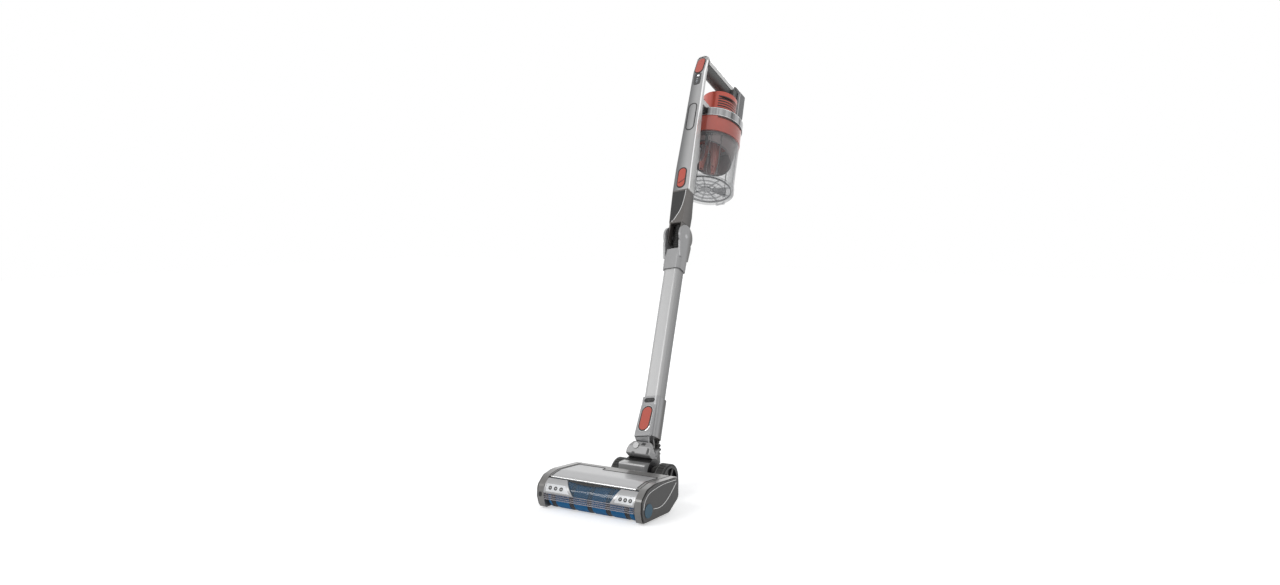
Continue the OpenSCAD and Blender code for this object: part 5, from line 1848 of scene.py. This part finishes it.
    def _neck_bits(self) -> None:
        """Painted shade: black patches standing for the notches on the neck's front block, and a bright line
        on the neck's duct.
        """
        layout = self.maker.layout
        parts = []
        for outline in self.notches:
            parts.append(Shapes.slab(outline, -0.3, 0.45, lambda u, v, h: wand_point(
                u, self.yoke_front - h + max(0.0, v - self.yoke_bend) * 0.66, v)))
        verts, faces = Shapes.merge(parts)
        placed = [tuple(layout.neck @ Vector(v)) for v in verts]
        self.maker.piece("neck_notch_shade", placed, faces, "neck", ("black_plastic",), smooth=False)
        radius, duct_y = self.duct
        turn = math.radians(-58.0)
        path = [layout.neck @ Vector(wand_point(radius * math.cos(turn), duct_y + radius * math.sin(turn), z))
                for z in range(14, 42, 3)]
        self.maker.piece("duct_line", *Shapes.tube(path, 0.7 * MM, 8), "neck", ("bright_trim",))


@dataclass
class WheelCaps:
    """Spoked faces and tread lines of the rear wheels."""

    maker: MeshMaker
    spokes: int = 6
    inner: float = 10.5
    outer: float = 27.5
    tread_r: float = 37.0

    def build(self) -> None:
        """Makes both wheels' pieces."""
        for side, name in ((1, "right"), (-1, "left")):
            low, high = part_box(f"wheel_hub_{name}")
            face = (high[0] if side > 0 else -low[0]) - 6.2 * MM
            centre = self.maker.layout.place(f"wheel_{name}_roll")
            parts = []
            for i in range(self.spokes):
                middle = 2 * math.pi * i / self.spokes
                outline = [(self.inner, middle - 0.26), (self.outer, middle - 0.12),
                           (self.outer, middle + 0.12), (self.inner, middle + 0.26)]
                flat = [(r * math.cos(a), r * math.sin(a)) for r, a in outline]
                parts.append(Shapes.slab(flat, 0.0, 4.6, lambda u, v, h: (
                    side * (face + h * MM), centre[1] + u * MM, centre[2] + v * MM)))
            verts, faces = Shapes.merge(parts)
            self.maker.piece(f"wheel_spokes_{name}", verts, faces, f"wheel_{name}", ("dark_plastic",),
                             smooth=False)
            low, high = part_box(f"tyre_{name}")
            parts = []
            for share in (0.12, 0.88):
                x = low[0] + (high[0] - low[0]) * share
                ring = [(self.tread_r * MM + 0.05 * MM, -0.5 * MM), (self.tread_r * MM + 0.05 * MM, 0.5 * MM),
                        (self.tread_r * MM - 0.8 * MM, 0.5 * MM), (self.tread_r * MM - 0.8 * MM, -0.5 * MM)]
                parts.append(Shapes.lathe(ring, (x, centre[1], centre[2]), 72, "X"))
            self.maker.piece(f"tread_lines_{name}", *Shapes.merge(parts), f"wheel_{name}", ("grip_rubber",))


# ---------------------------------------------------------------- studio
@dataclass
class Studio:
    """Floor, backdrop light, lamps and camera."""

    camera_at: Point = (1.249886, -1.947933, 0.639878)
    pitch: float = 90.0 - 4.6
    turn: float = 31.7
    lens: float = 36.0 * 1098.0 / 1280.0
    world: float = 0.40
    floor_near: float = 0.50
    floor_far: float = 0.80
    key: float = 36.0
    fill: float = 9.0
    back: float = 18.0

    def build(self) -> None:
        """Makes the whole studio."""
        self._world()
        self._floor()
        self._lamps()
        self._camera()
        scene = bpy.context.scene
        scene.view_settings.view_transform = "Standard"

    @staticmethod
    def _seen(graph: Graph) -> bpy.types.NodeSocket:
        """Returns 1 for rays from the camera, in a reflection or through glass."""
        path = graph.add("LightPath")
        seen = graph.math("MAXIMUM", path.outputs["Is Camera Ray"], path.outputs["Is Transmission Ray"])
        return graph.math("MAXIMUM", seen, path.outputs["Is Glossy Ray"])

    def _world(self) -> None:
        """A soft neutral light that shows as white behind the object."""
        world = bpy.data.worlds.new("studio")
        bpy.context.scene.world = world
        world.use_nodes = True
        graph = Graph(world.node_tree)
        world.node_tree.nodes.clear()
        light = graph.add("Background", None, {"Color": (0.97, 0.98, 1.0, 1.0), "Strength": self.world})
        white = graph.add("Background", None, {"Color": (1.0, 1.0, 1.0, 1.0), "Strength": 1.0})
        mix = graph.add("MixShader")
        graph.link(self._seen(graph), mix.inputs[0])
        graph.link(light.outputs[0], mix.inputs[1])
        graph.link(white.outputs[0], mix.inputs[2])
        graph.link(mix.outputs[0], graph.add("OutputWorld").inputs["Surface"])

    def _floor(self) -> None:
        """A plain white floor that keeps the object's soft shadow and stays white far away."""
        mesh = bpy.data.meshes.new("floor")
        half = 8.0
        mesh.from_pydata([(-half, -half, 0), (half, -half, 0), (half, half, 0), (-half, half, 0)],
                         [], [(0, 1, 2, 3)])
        floor = bpy.data.objects.new("floor", mesh)
        bpy.context.collection.objects.link(floor)
        floor.location.z = -0.0004
        material = bpy.data.materials.new("floor_paper")
        material.use_nodes = True
        material.node_tree.nodes.clear()
        graph = Graph(material.node_tree)
        shader = graph.add("BsdfPrincipled", None, {"Base Color": (0.92, 0.92, 0.92, 1.0),
                           "Roughness": 0.9, "Specular IOR Level": 0.0})
        distance = graph.add("VectorMath", {"operation": "LENGTH"})
        graph.link(graph.add("NewGeometry").outputs["Position"], distance.inputs[0])
        strength = graph.ramp(distance.outputs["Value"], 0.5, 2.6, self.floor_near, self.floor_far)
        lift = graph.add("Emission", None, {"Color": (1.0, 1.0, 1.0, 1.0)})
        graph.link(graph.math("MULTIPLY", strength, self._seen(graph)), lift.inputs["Strength"])
        both = graph.add("AddShader")
        graph.link(shader.outputs[0], both.inputs[0])
        graph.link(lift.outputs[0], both.inputs[1])
        graph.link(both.outputs[0], graph.add("OutputMaterial").inputs["Surface"])
        mesh.materials.append(material)

    def _lamp(self, name: str, at: Point, aim: Point, size: float, power: float) -> None:
        """Adds one soft area lamp.

        Args:
            name: the lamp's name.
            at: where it stands.
            aim: the point it looks at.
            size: edge of its square.
            power: watts.
        """
        data = bpy.data.lights.new(name, "AREA")
        data.size = size
        data.energy = power
        lamp = bpy.data.objects.new(name, data)
        lamp.location = at
        lamp.rotation_euler = (Vector(aim) - Vector(at)).to_track_quat("-Z", "Y").to_euler()
        bpy.context.collection.objects.link(lamp)

    def _lamps(self) -> None:
        """A large key from the upper left, a weaker fill and a back light."""
        self._lamp("key", (-1.2, -2.4, 2.4), (0.0, 0.2, 0.45), 1.6, self.key)
        self._lamp("fill", (2.6, -1.0, 1.4), (0.0, 0.2, 0.5), 1.8, self.fill)
        self._lamp("back", (-0.6, 2.6, 2.2), (0.0, 0.2, 0.6), 1.4, self.back)

    def _camera(self) -> None:
        """The camera at the viewing angle."""
        data = bpy.data.cameras.new("camera")
        data.sensor_width = 36.0
        data.lens = self.lens
        camera = bpy.data.objects.new("camera", data)
        camera.location = self.camera_at
        camera.rotation_euler = (math.radians(self.pitch), 0.0, math.radians(self.turn))
        bpy.context.collection.objects.link(camera)
        bpy.context.scene.camera = camera


def main() -> None:
    """Builds the cleaner round the frame."""
    logging.basicConfig(level=logging.INFO, format="%(message)s")
    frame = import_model()
    layout = Layout(frame)
    palette = Palette(Effects(layout))
    maker = MeshMaker(palette, layout)
    CadFinishes(maker).dress()
    for part in (Rollers(maker), HeadLamps(maker), HeadTrim(maker), WheelCaps(maker), Hoses(maker),
                 FrontTrim(maker), CupDetails(maker), HandheldDetails(maker)):
        part.build()
    Studio().build()


if __name__ == "__main__":
    main()
